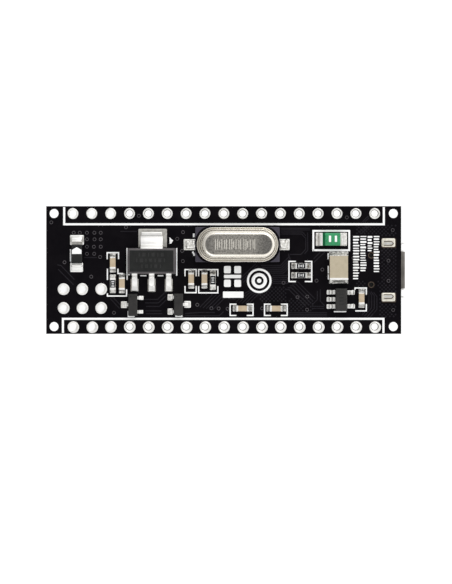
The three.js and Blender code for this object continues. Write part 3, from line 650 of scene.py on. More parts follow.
def finish_piece(name, mesh, materials, node, body=BOARD_BODY):
    for material in materials:
        mesh.materials.append(material)
    with editing(mesh) as work:
        mark_edge_wear_and_sheen(work)
    obj = put(name, mesh)
    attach(obj, body)
    if node:
        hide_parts(node)
    return obj


def filled_plate(outlines, bottom, top, edge):
    """A mesh in millimetres of a flat plate with holes: the outlines after the first are cut out."""
    curve = bpy.data.curves.new("outline", "CURVE")
    curve.dimensions = "2D"
    curve.fill_mode = "BOTH"
    curve.extrude = (top - bottom) / 2 - edge
    curve.bevel_depth = edge
    curve.bevel_resolution = 1
    curve.offset = -edge
    for outline in outlines:
        spline = curve.splines.new("POLY")
        spline.points.add(len(outline) - 1)
        spline.use_cyclic_u = True
        for point, (x, y) in zip(spline.points, outline):
            point.co = (x, y, 0, 1)
    holder = put("outline", curve)
    graph = bpy.context.evaluated_depsgraph_get()
    mesh = bpy.data.meshes.new_from_object(holder.evaluated_get(graph))
    bpy.data.objects.remove(holder)
    bpy.data.curves.remove(curve)
    with editing(mesh) as work:
        bmesh.ops.remove_doubles(work, verts=work.verts, dist=1e-4)
        bmesh.ops.translate(work, verts=work.verts, vec=(0, 0, (top + bottom) / 2))
    return mesh


# ---- circuit board

BRIGHT_UNTIL = -14.0  # left of this the bores are as bright as their lands
solder_dice = random.Random(SEED)


def header_places():
    middle = (HEADER_HOLES - 1) / 2
    places = [(i - middle) * PITCH for i in range(HEADER_HOLES)]
    return [(x, y) for x in places for y in (HEADER_ROW_Y, -HEADER_ROW_Y)]


def programming_places():
    cx, cy = PROGRAMMING_CENTRE
    return [(cx + c * PITCH, cy + r * PITCH) for c in (-1, 0, 1) for r in (-0.5, 0.5)]


def make_laminate():
    low, high = BOARD_LOW, BOARD_HIGH
    outlines = [[(low.x, low.y), (high.x, low.y), (high.x, high.y), (low.x, high.y)]]
    for x, y in header_places() + programming_places():
        outlines.append(circle(HOLE_RADIUS + 0.03, 32, x, y))
    for sx, sy in CORNERS:
        outlines.append(circle(CORNER_HOLE_RADIUS, 40, sx * CORNER_HOLE[0], sy * CORNER_HOLE[1]))
    for side in SIDES:
        outlines.append(circle(PEG_HOLE_RADIUS, 28, PEG_X, side * PEG_Y))
        outlines.append(moved(rounded_rectangle(1.5, 0.8, 0.4, 6), TAB_X, side * TAB_Y))
    mesh = filled_plate(outlines, UNDERSIDE_Z, SUPPLY_Z, 0.03)
    for polygon in mesh.polygons:
        polygon.material_index = 0 if abs(polygon.normal.z) > 0.5 else 1
    mesh.transform(Matrix.Scale(MM, 4))
    finish_piece("board_laminate", mesh, [MASK, EDGE], "circuit_board")


def land(solid, x, y, flip, radius, slump, groove=0.0):
    """A domed washer of tinning round a hole, a little uneven, slumped towards one side."""
    steps = 36
    lip = HOLE_RADIUS + 0.02
    profile = [(0.0, -0.03), (0.0, 0.012), (0.12, 0.034), (0.34, 0.044), (0.5, 0.044 - 0.5 * groove),
               (0.56, 0.044 - groove), (0.62, 0.044), (0.84, 0.036), (1.0, 0.004), (0.98, -0.03)]
    phase = solder_dice.uniform(0, 2 * math.pi)
    wobble = solder_dice.uniform(0.006, 0.02)
    rings = []
    for share, height in profile:
        ring = []
        for i in range(steps):
            angle = 2 * math.pi * i / steps
            ripple = share * math.sin(2 * angle + phase) + 0.5 * math.sin(5 * angle)
            reach = (lip + (radius - lip) * share) * (1 + wobble * ripple)
            px = x + slump[0] * share + reach * math.cos(angle)
            py = flip * (y + slump[1] * share) + reach * math.sin(angle)
            ring.append((px, py, height))
        rings.append(ring)
    solid.rings(rings, loop=True)


def make_plating():
    for name, face, flip in FACES:
        lands = Solid(face, SOLDER)
        for x, y in header_places():
            lower_row = y < 0
            reach, growth = (0.075, 0.05) if lower_row else (0.012, 0.0)
            drift = solder_dice.uniform(0.6, 1.3) * reach
            groove = 0.0 if x < BRIGHT_UNTIL else 0.04 if lower_row else 0.004
            land(lands, x, y, flip, LAND_RADIUS + growth, (drift, -drift), groove)
        for x, y in programming_places():
            drift = solder_dice.uniform(0.02, 0.05)
            land(lands, x, y, flip, PROGRAMMING_LAND_RADIUS, (drift, -0.4 * drift))
        lands.piece("lands_" + name, "tinned_metal")
    # Bore walls are painted dark for the shade inside the holes, but the filled ones left of
    # BRIGHT_UNTIL are bright solder.
    barrels = Solid(SUPPLY_FACE, SHADED_BORE_TIN)
    wall = HOLE_RADIUS - 0.04
    low, high = -BOARD_THICKNESS - 0.01, 0.01
    profile = [(wall, low + 0.04), (wall, high - 0.04), (wall + 0.02, high - 0.01),
               (wall + 0.07, high), (wall + 0.07, low), (wall + 0.02, low + 0.01)]
    for x, y in header_places() + programming_places():
        barrels.turned(profile, x, y, material=SOLDER if x < BRIGHT_UNTIL else SHADED_BORE_TIN, loop=True)
    barrels.piece("plated_barrels", "tinned_metal")


VIAS = [
    (-20.2, 5.02), (-19.38, 5.02), (-18.42, 5.02), (-17.42, 5.02), (-16.56, 5.02),
    (-18.42, 4.14), (-17.4, 4.14), (-16.56, 4.14), (-18.42, 3.14), (-17.48, 3.14),
    (-16.56, 3.14), (-18.42, 2.18), (-17.44, 2.18), (-16.64, 1.76), (-23.22, 6.42),
    (-21.44, 1.04), (-17.84, -0.9), (-14.78, -5.76), (-13.16, 5.76), (-11.42, 7.3),
    (-5.48, 5.1), (-6.26, 4.2), (-5.6, 2.58), (-5.5, 1.2), (-3.56, -4.68), (-1.66, -5.14),
    (-0.68, -5.18), (0.52, -5.22), (5.18, -5.16), (8.06, -1.72), (9.94, -3.66),
    (11.25, -3.58), (11.23, -5.34), (12.5, -1.44), (13.28, 0.06), (16.58, 7.08),
    (17.48, 1.62), (22.76, 5.38), (22.19, 1.26), (22.19, -1.46), (22.82, -5.38),
]
VIA_RING = [(0.245, -0.01), (0.24, 0.012), (0.225, 0.02), (0.185, 0.02), (0.17, 0.012), (0.165, -0.01)]

SUPPLY_ROUTES = [
    [(-18.8, 1.68), (-17.1, 1.68)],
    [(-22.4, 0.7), (-21.9, 0.6), (-20.1, -1.3)],
    [(-22.3, 0.1), (-20.2, -2.0)],
    [(-13.9, 5.2), (-11.7, 5.2)],
    [(-15.3, -3.8), (-14.0, -5.2)],
    [(-14.9, -3.7), (-13.9, -4.7)],
    [(-8.0, 6.0), (-5.5, 6.0), (-4.2, 5.9)],
    [(0.55, -3.83), (1.6, -3.95)],
    [(-5.2, -5.85), (-3.2, -5.72), (-1.2, -5.72)],
    [(-5.2, -6.15), (-0.6, -6.15), (0.0, -5.6)],
    [(11.3, 5.05), (11.32, 2.7), (10.9, 2.2)],
    [(12.6, -2.8), (12.6, -4.0), (12.1, -4.5), (11.9, -4.5)],
    [(13.0, -2.6), (13.0, -4.2), (13.6, -4.8)],
    [(18.2, 5.0), (19.3, 6.0)],
    [(18.6, 4.9), (19.7, 6.0)],
    [(18.7, 6.5), (19.5, 7.3)],
    [(19.0, 6.5), (19.6, 7.05)],
    [(12.1, 1.0), (13.6, 2.4)],
    [(12.1, 1.5), (13.0, 2.4)],
]
# A bundle is how many routes run side by side, the step from each to the next, and the first one.
SUPPLY_BUNDLES = [
    (3, (0.12, -0.47), [(-10.7, -3.96), (-8.9, -3.96), (-7.9, -3.0)]),
    (2, (0.1, -0.38), [(-10.6, -5.5), (-8.4, -5.5)]),
    (5, (0.42, -0.1), [(-3.2, -5.0), (-1.3, -3.1)]),
    (3, (0.24, -0.2), [(2.1, -1.3), (4.3, 0.85)]),
    (5, (0.42, -0.06), [(1.6, -4.4), (2.9, -3.1), (3.9, -2.6)]),
    (5, (0.1, -0.26), [(5.0, 0.62), (7.65, 0.62), (8.75, 1.75), (8.75, 2.2)]),
    (5, (0.0, -0.27), [(6.55, -0.72), (8.75, -0.72)]),
    (2, (0.0, -0.22), [(7.65, 5.62), (11.6, 5.62)]),
    (2, (-0.1, -0.27), [(7.65, 5.12), (10.6, 5.12), (11.05, 4.6)]),
    (1, (0.0, 0.0), [(8.9, 2.1), (10.4, 2.1), (11.05, 2.8), (11.05, 4.4)]),
    (5, (-0.3, -0.26), [(9.5, -1.6), (10.0, -1.6), (12.3, -3.9)]),
    (3, (0.0, -0.22), [(8.7, -5.75), (13.9, -5.75)]),
    (2, (0.0, -0.28), [(11.9, -4.9), (13.5, -4.9)]),
    (4, (0.36, -0.1), [(19.1, -2.7), (19.55, -3.25), (19.55, -5.0), (18.6, -6.1)]),
]
LOGIC_BUNDLES = [
    (2, (0.0, -0.66), [(11.9, 0.33), (14.5, 0.33), (14.8, 0.6)]),
    (4, (0.0, -0.28), [(8.2, 4.0), (11.8, 4.0), (12.4, 4.6)]),
    (1, (0.0, 0.0), [(-20.5, 1.34), (-19.0, 1.34), (-14.9, 5.44), (-13.6, 5.44)]),
    (3, (0.28, 0.28), [(-22.9, 3.0), (-22.9, -1.2), (-21.6, -2.5), (-19.2, -2.5)]),
    (4, (0.32, -0.1), [(-15.4, -2.4), (-14.9, -2.9), (-14.9, -5.6)]),
]


def unbundled(bundles):
    routes = []
    for count, step, first in bundles:
        routes += [moved(first, i * step[0], i * step[1]) for i in range(count)]
    return routes


def fans():
    """Routes from the microcontroller's sides towards the header rows, and from its ends."""
    low, high = box_mm("microcontroller")
    middle_x = (low.x + high.x) / 2
    routes = []
    for side in SIDES:
        for along in LEAD_ROW:
            start, spread = middle_x + along, middle_x + FAN_SPREAD * along
            routes.append([(start, side * 6.15), (start, side * 6.35), (spread, side * 6.65)])
    for i in range(5):
        y = 2.4 - 1.2 * i
        routes.append([(high.x + 0.15, y), (high.x + 0.9, y), (high.x + 1.7, y * 0.8)])
        routes.append([(low.x - 0.15, y), (low.x - 0.7, y), (low.x - 1.3, y * 1.1)])
    return routes


def make_copper():
    all_routes = (SUPPLY_ROUTES + unbundled(SUPPLY_BUNDLES), fans() + unbundled(LOGIC_BUNDLES))
    for (name, face, flip), routes in zip(FACES, all_routes):
        rings = Solid(face, MASK_VIA)
        for x, y in VIAS:
            rings.turned(VIA_RING, x, y * flip, steps=20, loop=True)
        rings.piece("vias_" + name, "circuit_board")
        copper = Solid(face, MASK_COPPER)
        for route in routes:
            copper.slab(stroke(route, ROUTE_WIDTH), 0.0, MASK_RELIEF, 0.009)
        copper.piece("copper_" + name, "circuit_board")


# Where the hatched ground copper shows and where it is left open, as (x, x, y, y) on each face.
LATTICES = (
    (
        [(4.9, 8.4, -4.2, -2.3), (8.8, 12.2, -5.5, -3.9), (17.9, 23.4, -2.5, 6.0),
         (20.9, 23.4, -6.3, -2.5), (18.0, 23.4, -1.0, 0.5)],
        [(21.1, 23.3, -4.5, -2.9), (21.1, 23.3, 2.9, 4.5), (17.2, 21.1, -1.4, 4.7),
         (19.1, 20.7, -2.9, -1.1), (21.9, 23.4, 6.3, 8.0)],
    ),
    (
        [(-23.2, -15.4, -1.0, 5.4), (12.6, 17.6, -6.2, -1.6), (11.8, 17.9, 1.6, 3.2)],
        [(-14.9, -9.9, -2.5, 2.5), (15.6, 17.7, -5.7, -3.1)],
    ),
)


def in_any(x, y, zones):
    return any(x0 <= x <= x1 and y0 <= y <= y1 for x0, x1, y0, y1 in zones)


def make_ground_dots():
    """The open cells of the hatched ground copper, which show as a lattice of low bumps."""
    bump = [(0.125, 0.0), (0.1, 0.01), (0.05, 0.014)]
    for (name, face, flip), (zones, gaps) in zip(FACES, LATTICES):
        dots = Solid(face, MASK_DOT)
        for row in range(-24, 25):
            for column in range(-92, 93):
                x, y = column * DOT_SPACING / 2, row * DOT_SPACING / 2
                if (row + column) % 2 or not in_any(x, y, zones) or in_any(x, y, gaps):
                    continue
                if all(math.hypot(x - vx, y - vy) >= VIA_CLEARANCE for vx, vy in VIAS):
                    dots.turned(bump, x, flip * y, steps=8)
        dots.piece("ground_lattice_" + name, "circuit_board")


# ---- white print

legend_dice = random.Random(SEED)


def draw(ink, outline):
    ink.slab(outline, 0, INK, INK_EDGE)


def around(nodes, left, right, bottom, top, arms, tip):
    """A bracket that clears the parts' boxes by a margin on each side.

    With arms "ends" it closes the ends along Y, and with "sides" the ends along X.
    """
    lows, highs = zip(*(box_mm(node) for node in nodes))
    x0, x1 = min(p.x for p in lows) - left, max(p.x for p in highs) + right
    y0, y1 = min(p.y for p in lows) - bottom, max(p.y for p in highs) + top
    if arms == "ends":
        return [
            [(x0, y1 - tip), (x0, y1), (x1, y1), (x1, y1 - tip)],
            [(x0, y0 + tip), (x0, y0), (x1, y0), (x1, y0 + tip)],
        ]
    return [
        [(x0 + tip, y1), (x0, y1), (x0, y0), (x0 + tip, y0)],
        [(x1 - tip, y1), (x1, y1), (x1, y0), (x1 - tip, y0)],
    ]


def text_block(ink, left, right, top, bottom):
    """A column of plain bars where a legend would be. It holds no lettering."""
    y = top
    while y - bottom > 0.15:
        tall = min(legend_dice.uniform(0.13, 0.27), y - bottom)
        width = (right - left) * legend_dice.choice((0.82, 0.92, 1.0))
        draw(ink, tapered(width, tall, 0.05, left + width / 2, y - tall / 2, 2))
        y -= tall + legend_dice.uniform(0.14, 0.2)


def header_frames(ink, flip):
    """The long white lines that fence off the two header rows."""
    edge_y = BOARD_HIGH.y - 0.12
    for side, left, right, inner in ((1, -21.48, 21.56, 6.16), (-1, -21.65, 21.51, -6.57)):
        path = [(left, side * edge_y), (left, inner), (right, inner), (right, side * edge_y)]
        draw(ink, stroke([(x, y * flip) for x, y in path], FRAME_LINE))


SUPPLY_LINES = [
    [(-15.69, 1.45), (-15.69, 2.33), (-14.16, 2.33), (-14.16, 1.45)],
    [(-15.66, 0.18), (-15.66, -1.34)],
    [(-14.24, 0.18), (-14.24, -0.47), (-13.56, -0.47)],
    [(-15.66, -3.14), (-15.66, -3.5), (-13.08, -3.5), (-13.08, -2.6)],
]
SUPPLY_BRACKETS = [
    (["capacitor_c3"], 0.43, 0.27, 0.9, 0.61, "ends", 0.9),
    (["capacitor_c4", "resistor_r2"], 0.37, 0.27, 0.82, 0.61, "ends", 0.9),
    (["capacitor_c5"], 0.87, 0.61, 0.54, 0.18, "sides", 0.85),
    (["capacitor_c6"], 0.78, 0.67, 0.54, 0.18, "sides", 0.85),
    (["resistor_r3", "resistor_r4"], 0.83, 0.63, 0.45, 0.21, "sides", 0.93),
]
MORE_SUPPLY_LINES = [
    [(-13.01, 2.95), (-13.01, -1.34)],
    [(-13.15, -0.62), (-12.65, -0.62)],
    [(-6.33, 2.95), (-6.33, -0.76)],
    [(-11.24, -0.76), (-10.4, -0.76)],
    [(-8.9, -0.76), (-8.12, -0.76)],
    [(-12.84, -5.5), (-12.84, -6.28), (-12.0, -6.28)],
    [(-6.44, -6.1), (-6.44, -6.25), (-5.64, -6.25), (-5.64, -6.1)],
    [(17.68, -2.66), (17.68, -2.42), (19.2, -2.42), (19.2, -3.32)],
    [(19.2, -4.58), (19.2, -5.5), (17.72, -5.5)],
    [(14.84, -5.6), (16.5, -5.6)],
    [(-20.62, 2.8), (-20.62, 1.14)],
    [(14.08, 2.25), (14.06, 1.45)],
    [(14.08, 0.56), (14.1, -0.46)],
    [(14.1, -0.58), (14.1, -1.28)],
]


def make_supply_print():
    ink = Solid(SUPPLY_FACE, WHITE)
    header_frames(ink, 1)
    lines = list(SUPPLY_LINES)
    for bracket in SUPPLY_BRACKETS:
        lines += around(*bracket)
    for path in lines + MORE_SUPPLY_LINES:
        draw(ink, stroke(path, BRACKET_LINE))
    fuse_frame = [(12.07, 2.67), (16.9, 2.67), (16.9, 5.27), (12.07, 5.27), (12.07, 2.54)]
    draw(ink, stroke(fuse_frame, 0.25))
    for path in ([(-4.02, 4.92), (-4.02, 4.42)], [(-4.2, 2.48), (-3.98, 2.14), (-3.98, 1.92)]):
        draw(ink, stroke(path, 0.24))
    arrow = [(-7.06, 4.16), (-6.82, 3.98), (-7.06, 3.58), (-7.28, 3.54), (-7.28, 4.4)]
    draw(ink, arrow)
    for left, right, bottom in (
        (17.42, 18.26, -1.32), (18.4, 19.22, -0.42), (19.38, 20.02, 2.46), (20.2, 20.98, -0.42),
    ):
        text_block(ink, left, right, LEGEND_TOP, bottom)
    make_plain_marks(ink)
    ink.piece("print_supply", "circuit_board")


def make_plain_marks(ink):
    """Plain marks of the size of the printed symbols: a bar among four plates, a bar, a target."""
    plate_x, plate_y = 1.19, -0.87
    target_x, target_y = 4.78, -1.44
    draw(ink, tapered(2.3, 0.46, 0.1, plate_x, plate_y))
    for side in SIDES:
        for lift in (1, -1):
            draw(ink, tapered(0.92, 0.98, 0.16, plate_x + side * 0.69, plate_y + lift * 0.92))
    draw(ink, tapered(2.76, 0.84, 0.06, 1.28, -3.32))
    for outer, inner in ((1.66, 1.38), (1.04, 0.6)):
        profile = [(inner, 0.0), (inner, INK - INK_EDGE), (inner + INK_EDGE, INK),
                   (outer - INK_EDGE, INK), (outer, INK - INK_EDGE), (outer, 0.0)]
        ink.turned(profile, target_x, target_y, steps=48, loop=True)
    draw(ink, circle(0.3, 24, target_x, target_y))


def make_logic_print():
    ink = Solid(LOGIC_FACE, WHITE)
    header_frames(ink, -1)
    brackets = [([node], 0.55, 0.55, 0.3, 0.3, "sides", 0.5) for node in LIGHTS]
    brackets += [([f"capacitor_c{i}"], 0.3, 0.3, 0.62, 0.62, "ends", 0.6) for i in (8, 9)]
    brackets += [([f"capacitor_c{i}"], 0.62, 0.62, 0.3, 0.3, "sides", 0.6) for i in (10, 11)]
    protectors = ["usb_protector_plus", "usb_protector_minus"]
    switch_feet = ["reset_switch_terminal_1", "reset_switch_terminal_2"]
    brackets += [
        (protectors, 0.62, 0.62, 0.32, 0.32, "sides", 0.6),
        (["ferrite_bead"], 0.3, 0.3, 0.62, 0.62, "ends", 0.6),
        (switch_feet, 0.55, 0.55, 0.15, 0.15, "ends", 0.7),
    ]
    lines = []
    for bracket in brackets:
        lines += around(*bracket)
    low, high = box_mm("microcontroller")
    for sx, sy in ((1, 1), (-1, 1), (1, -1)):
        cx = high.x if sx > 0 else low.x
        cy = high.y if sy > 0 else low.y
        lines.append([(cx, cy - sy * 0.95), (cx, cy), (cx - sx * 0.95, cy)])
    for path in lines:
        draw(ink, stroke([(x, -y) for x, y in path], LOGIC_LINE))
    draw(ink, circle(0.26, 24, low.x + 0.35, -(low.y + 0.35)))
    for x, y in header_places():
        side = 1 if y > 0 else -1
        draw(ink, moved(rounded_rectangle(0.5, 0.16, 0.05, 2), x, side * 1.08 - y))
    for i in range(3):
        draw(ink, moved(rounded_rectangle(1.3, 0.42, 0.08, 2), -19.1, 0.75 * i - 1.6))
    ink.piece("print_logic", "circuit_board")


# ---- solder


def solder_pad(solid, x, y, length, width, height, material):
    """A pillow of solder over a rectangular pad."""
    wobble = 1 + solder_dice.uniform(-0.04, 0.04)
    outline = tapered(length * wobble, width, 0.12, x, y, 3)
    deepest = 0.42 * min(length, width)
    levels = [(0, 0), (0.01, 0.35 * height), (0.06, 0.75 * height), (min(0.16, deepest), height)]
    solid.stack(outline, levels, material)


def solder_fillet(solid, start, reach, width, height, material):
    """Solder that climbs a metal face at X = start and runs out along +X over its pad."""
    along, across = 7, 6
    wobble = solder_dice.uniform(0.9, 1.08)
    rings = []
    for i in range(along + 1):
        t = i / along
        x = start + reach * t
        lift = height * wobble * (1 - t) ** 2.1 + 0.05 * (1 - t)
        half = width / 2 * (1 + 0.1 * math.sin(math.pi * t)) * (1 - 0.35 * t ** 4)
        ring = [(x, -half, 0.0)]
        for j in range(across + 1):
            s = 2 * j / across - 1
            crown = 0.45 + 0.55 * (1 - abs(s) ** 2.5)
            ring.append((x, half * s, max(lift * crown, 0.004)))
        rings.append(ring + [(x, half, 0.0)])
    solid.rings(rings, material)


# ---- chips on two terminals


LUMP = [(0.3, 0.0), (0.28, 0.24), (0.2, 0.36), (0.1, 0.41), (0.0, 0.42)]


def make_chip(node, turn, coat, slot, far=SPARKLING, near=SPARKLING, band=0.3, spread=0.16,
              drift=0.0, glazed=False, lumpy=False):
    """A ceramic chip with wrapped metal ends, each in its own kind of solder. The grainy solder paints
    shade on the ends that the light leaves dark.
    """
    size = size_mm(node)
    length, width = (size.y, size.x) if turn else (size.x, size.y)
    length += spread
    chip = Solid(seat(node, turn), coat).shifted(drift, 0)
    top = STAND_OFF + size.z
    step = 0.025
    chip.brick(length - 0.06, width - 2 * step, STAND_OFF + step, top - step, edge=0.04)
    for side, solder in ((-1, near), (1, far)):
        lumps = lumpy and side < 0
        wrap = 0.5 * band if lumpy and side > 0 else band
        centre = side * (length - wrap) / 2
        cap = TIN if solder == SPARKLING or lumps else GRAINY_SHADED_SOLDER
        chip.brick(wrap, width, STAND_OFF, top, centre, 0, 0.09, 0.07, cap)
        if solder == GRAINY_SHADED_SOLDER and not lumpy:
            inner = centre - 0.25 * side * band
            chip.brick(0.5 * band, width - 0.06, top - 0.1, top + 0.006, inner, material=TIN)
        end = chip.end(side)
        reach = 0.44 if length < 2.5 else 0.3
        climb = 0.3 if lumps else 0.55
        solder_fillet(end, length / 2 - 0.03, reach, width * 0.98, climb * size.z, solder)
        solder_pad(end, length / 2 + 0.12, 0, 0.66, width * 1.04, 0.045, solder)
        for corner in SIDES if lumps else ():
            end.turned(LUMP, length / 2 + 0.16, corner * (width / 2 - 0.24), 20, SPARKLING)
    if glazed:
        cover = length - 2 * band + 0.04
        chip.brick(cover, width - 0.1, top - 0.06, top - 0.002, 0, 0, 0.04, 0.02, GLAZE)
        for spot, tall in ((-0.3, 0.5), (0.0, 0.36), (0.28, 0.5)):
            bar = tapered(0.1, width * tall, 0.03, spot, 0, 2)
            chip.slab(bar, top - 0.004, top + 0.008, 0.004, WHITE)
    chip.piece(node.replace("_", "_chip_", 1), slot, node)


def make_chips():
    tan = (TAN, "tan_ceramic")
    black = (ALUMINA, "resistor_black")
    # The ends given the grainy solder are painted darker, as shade.
    for number, drift in ((1, 0.06), (2, 0.08), (3, 0.19), (4, 0.19), (7, 0.0)):
        make_chip(f"capacitor_c{number}", QUARTER, *tan, GRAINY_SHADED_SOLDER, drift=drift)
    for number in (8, 9):
        make_chip(f"capacitor_c{number}", QUARTER, *tan, spread=0.0)
    for number in (5, 6):
        make_chip(f"capacitor_c{number}", 0, *tan, GRAINY_SHADED_SOLDER)
    for number in (10, 11):
        make_chip(f"capacitor_c{number}", 0, *tan, spread=0.0)
    make_chip("resistor_r1", QUARTER, *black, spread=0.0, glazed=True)
    make_chip("resistor_r2", QUARTER, *black, GRAINY_SHADED_SOLDER, drift=0.1, glazed=True)
    for number in (3, 4):
        make_chip(f"resistor_r{number}", 0, *black, GRAINY_SHADED_SOLDER, GRAINY_SHADED_SOLDER, glazed=True)
    make_chip("input_capacitor", QUARTER, PALE, "pale_ceramic", GRAINY_SHADED_SOLDER, GRAINY_SHADED_SOLDER, 0.32, 0.0, 0.05,
              lumpy=True)
    for node, turn in (("usb_protector_plus", 0), ("usb_protector_minus", 0), ("ferrite_bead", QUARTER)):
        make_chip(node, turn, FERRITE, "ferrite", spread=0.0)


def make_fuse():
    length, width, height = size_mm("resettable_fuse")
    fuse = Solid(seat("resettable_fuse"), SPECKLED)
    top = STAND_OFF + height
    body = 2.42
    left = -body / 2
    fuse.brick(length - 0.1, width - 0.06, 0.05, top - 0.12, 0, 0, 0.06, 0.04)
    fuse.brick(body, width - 0.02, 0.04, top, 0, 0, 0.1, 0.09, GREEN)
    fuse.brick(0.36, width - 0.01, 0.1, top + 0.014, left + 0.2, 0, 0.05, 0.02, GREEN_DARK)
    # A bright tin bar paints the highlight along the green body's left edge.
    fuse.brick(0.17, width - 0.04, 0.1, top - 0.02, left - 0.06, 0, 0.05, 0.02, TIN)
    band = (length - body) / 2 + 0.06
    for side, end in fuse.ends():
        fuse.brick(band, width, STAND_OFF, top - 0.09, side * (length - band) / 2, 0, 0.08, 0.06)
        solder_fillet(end, length / 2 - 0.03, 0.5, width * 0.98, 0.42, SPECKLED)
        solder_pad(end, length / 2 + 0.1, 0, 0.85, width * 1.02, 0.05, SPECKLED)
        bar = tapered(0.3, 0.86, 0.08, 0.2 + side * 0.4, 0.06)
        fuse.slab(bar, top - 0.01, top + 0.01, 0.008, WHITE)
    fuse.piece("fuse_chip", "fuse_green", "resettable_fuse")


# ---- moulded packages

UPPER_WALL = 6  # which band of a moulded case is the wall above its parting line


def moulded_case(solid, length, width, bottom, top, draft, corner=0.08, wall=None):
    """Walls lean in above and below the parting line, with softened edges. A wall material, where given,
    paints the walls above the parting line lighter, as lit from above.
    """
    middle = (bottom + top) / 2 - 0.05 * (top - bottom)
    soft = 0.05
    outline = tapered(length, width, corner, steps=3)
    rim = draft + soft
    levels = [
        (rim + 0.14, bottom), (rim + 0.07, bottom), (rim, bottom), (draft, bottom + soft),
        (0.012, middle - 0.02), (0, middle), (0.012, middle + 0.02), (draft - 0.01, top - soft),
        (draft + 0.25 * soft, top - 0.25 * soft), (rim, top), (rim + 0.07, top), (rim + 0.14, top),
    ]
    count = len(outline(0.0))
    first = len(solid.materials) + UPPER_WALL * count
    solid.stack(outline, levels)
    solid.materials[first:first + count] = [wall or solid.material] * count


def gull_path(inner, toe, exit_z, foot, thickness, bend=None):
    """The middle line of a gull-wing lead, from inside the case to its toe on the pad."""
    seat_z = STAND_OFF + thickness / 2
    heel = toe - foot
    points = [(inner, exit_z), (heel - 0.35 * exit_z, exit_z), (heel, seat_z), (toe, seat_z)]
    return bent_path(points, bend or 0.22 * exit_z + 0.08)


def mark(solid, outline, top):
    """A faint bar on a case, barely raised."""
    solid.slab(outline, top - 0.004, top + 0.004, 0.003, CASE_MARK)


def bar_places(lengths, pitch, first_y, drop):
    """Where the bars of a plain legend go: rows of the given lengths, one below another."""
    for row, length in enumerate(lengths):
        for i in range(int(length / pitch)):
            yield i, (i + 0.5) * pitch - length / 2, first_y - row * drop


def make_small_package(node, name, shift, case, lead, stations, marks=0):
    """A moulded case with gull-wing leads. A station is (turn, along, pad end, pad width, solder)."""
    part = Solid(seat(node), CASE_GREY).shifted(*shift)
    height = size_mm(node).z
    top = STAND_OFF + height
    length, breadth = case
    moulded_case(part, length, breadth, 0.08, top, 0.12)
    toe, width, thickness = lead["toe"], lead["width"], lead["thickness"]
    path = gull_path(length / 2 - 0.3, toe, 0.44 * height, lead["foot"], thickness, lead.get("bend"))
    for turn, along, pad_end, pad_width, solder in stations:
        view = part.shifted(0, 0, turn).shifted(0, along)
        view.strip(path, width, thickness, material=TIN)
        # Dark bricks paint the shade across each lead at its bends.
        for seam, lift in lead.get("seams", ()):
            view.brick(0.07, width - 0.1, 0.1, lift, seam, 0, 0.02, 0.01, SHADED)
        pad_start = length / 2 + lead["bare"]
        middle = (pad_start + pad_end) / 2
        solder_pad(view, middle, 0, pad_end - pad_start, pad_width, 0.06, solder)
        solder_fillet(view, toe - 0.02, 0.9 * (pad_end - toe), width * 1.05, 0.1, solder)
    for i in range(marks):
        mark(part, tapered(0.62, 0.22, 0.06, 0.0, (i - (marks - 1) / 2) * 0.44, 2), top)
    spot = [(0.13, top - 0.004), (0.13, top), (0.1, top + 0.002)]
    part.turned(spot, -length / 2 + 0.36, breadth / 2 - 0.4, 20, CASE_MARK)
    part.piece(name, "moulded_black", node)


def make_small_packages():
    left, right = math.pi, 0.0
    case = (1.26, 2.94)
    lead = {"toe": 1.14, "foot": 0.32, "thickness": 0.13, "width": 0.44, "bare": 0.1}
    stations = [
        (left, -0.02, 1.62, 0.9, SPECKLED), (right, 0.94, 1.45, 0.56, SOLDER),
        (right, -0.94, 1.4, 0.5, SOLDER),
    ]
    make_small_package("transistor_q1", "q1_package", (0.05, -0.07), case, lead, stations)
    stations = [
        (right, 0.0, 1.66, 0.92, SOLDER), (left, 0.96, 1.47, 0.84, SPECKLED),
        (left, -0.96, 1.47, 0.84, SPECKLED),
    ]
    make_small_package("transistor_q2", "q2_package", (-0.02, -0.03), case, lead, stations)
    node = "regulator_3v3"
    lead = {"toe": 1.7, "foot": 0.36, "thickness": 0.15, "width": 0.56, "bare": 0.5, "bend": 0.07}
    # Lines of painted shade at the leads' two bends.
    lead["seams"] = ((1.6, 0.178), (1.14, 0.44 * size_mm(node).z + 0.1))
    stations = [(left, (i - 1) * 0.96, 1.98, 0.6, SOLDER) for i in range(3)]
    stations += [(right, side * 0.93, 1.84, 0.62, SOLDER) for side in SIDES]
    make_small_package(node, node + "_package", (0.0, -0.02), (1.6, 2.98), lead, stations, 4)


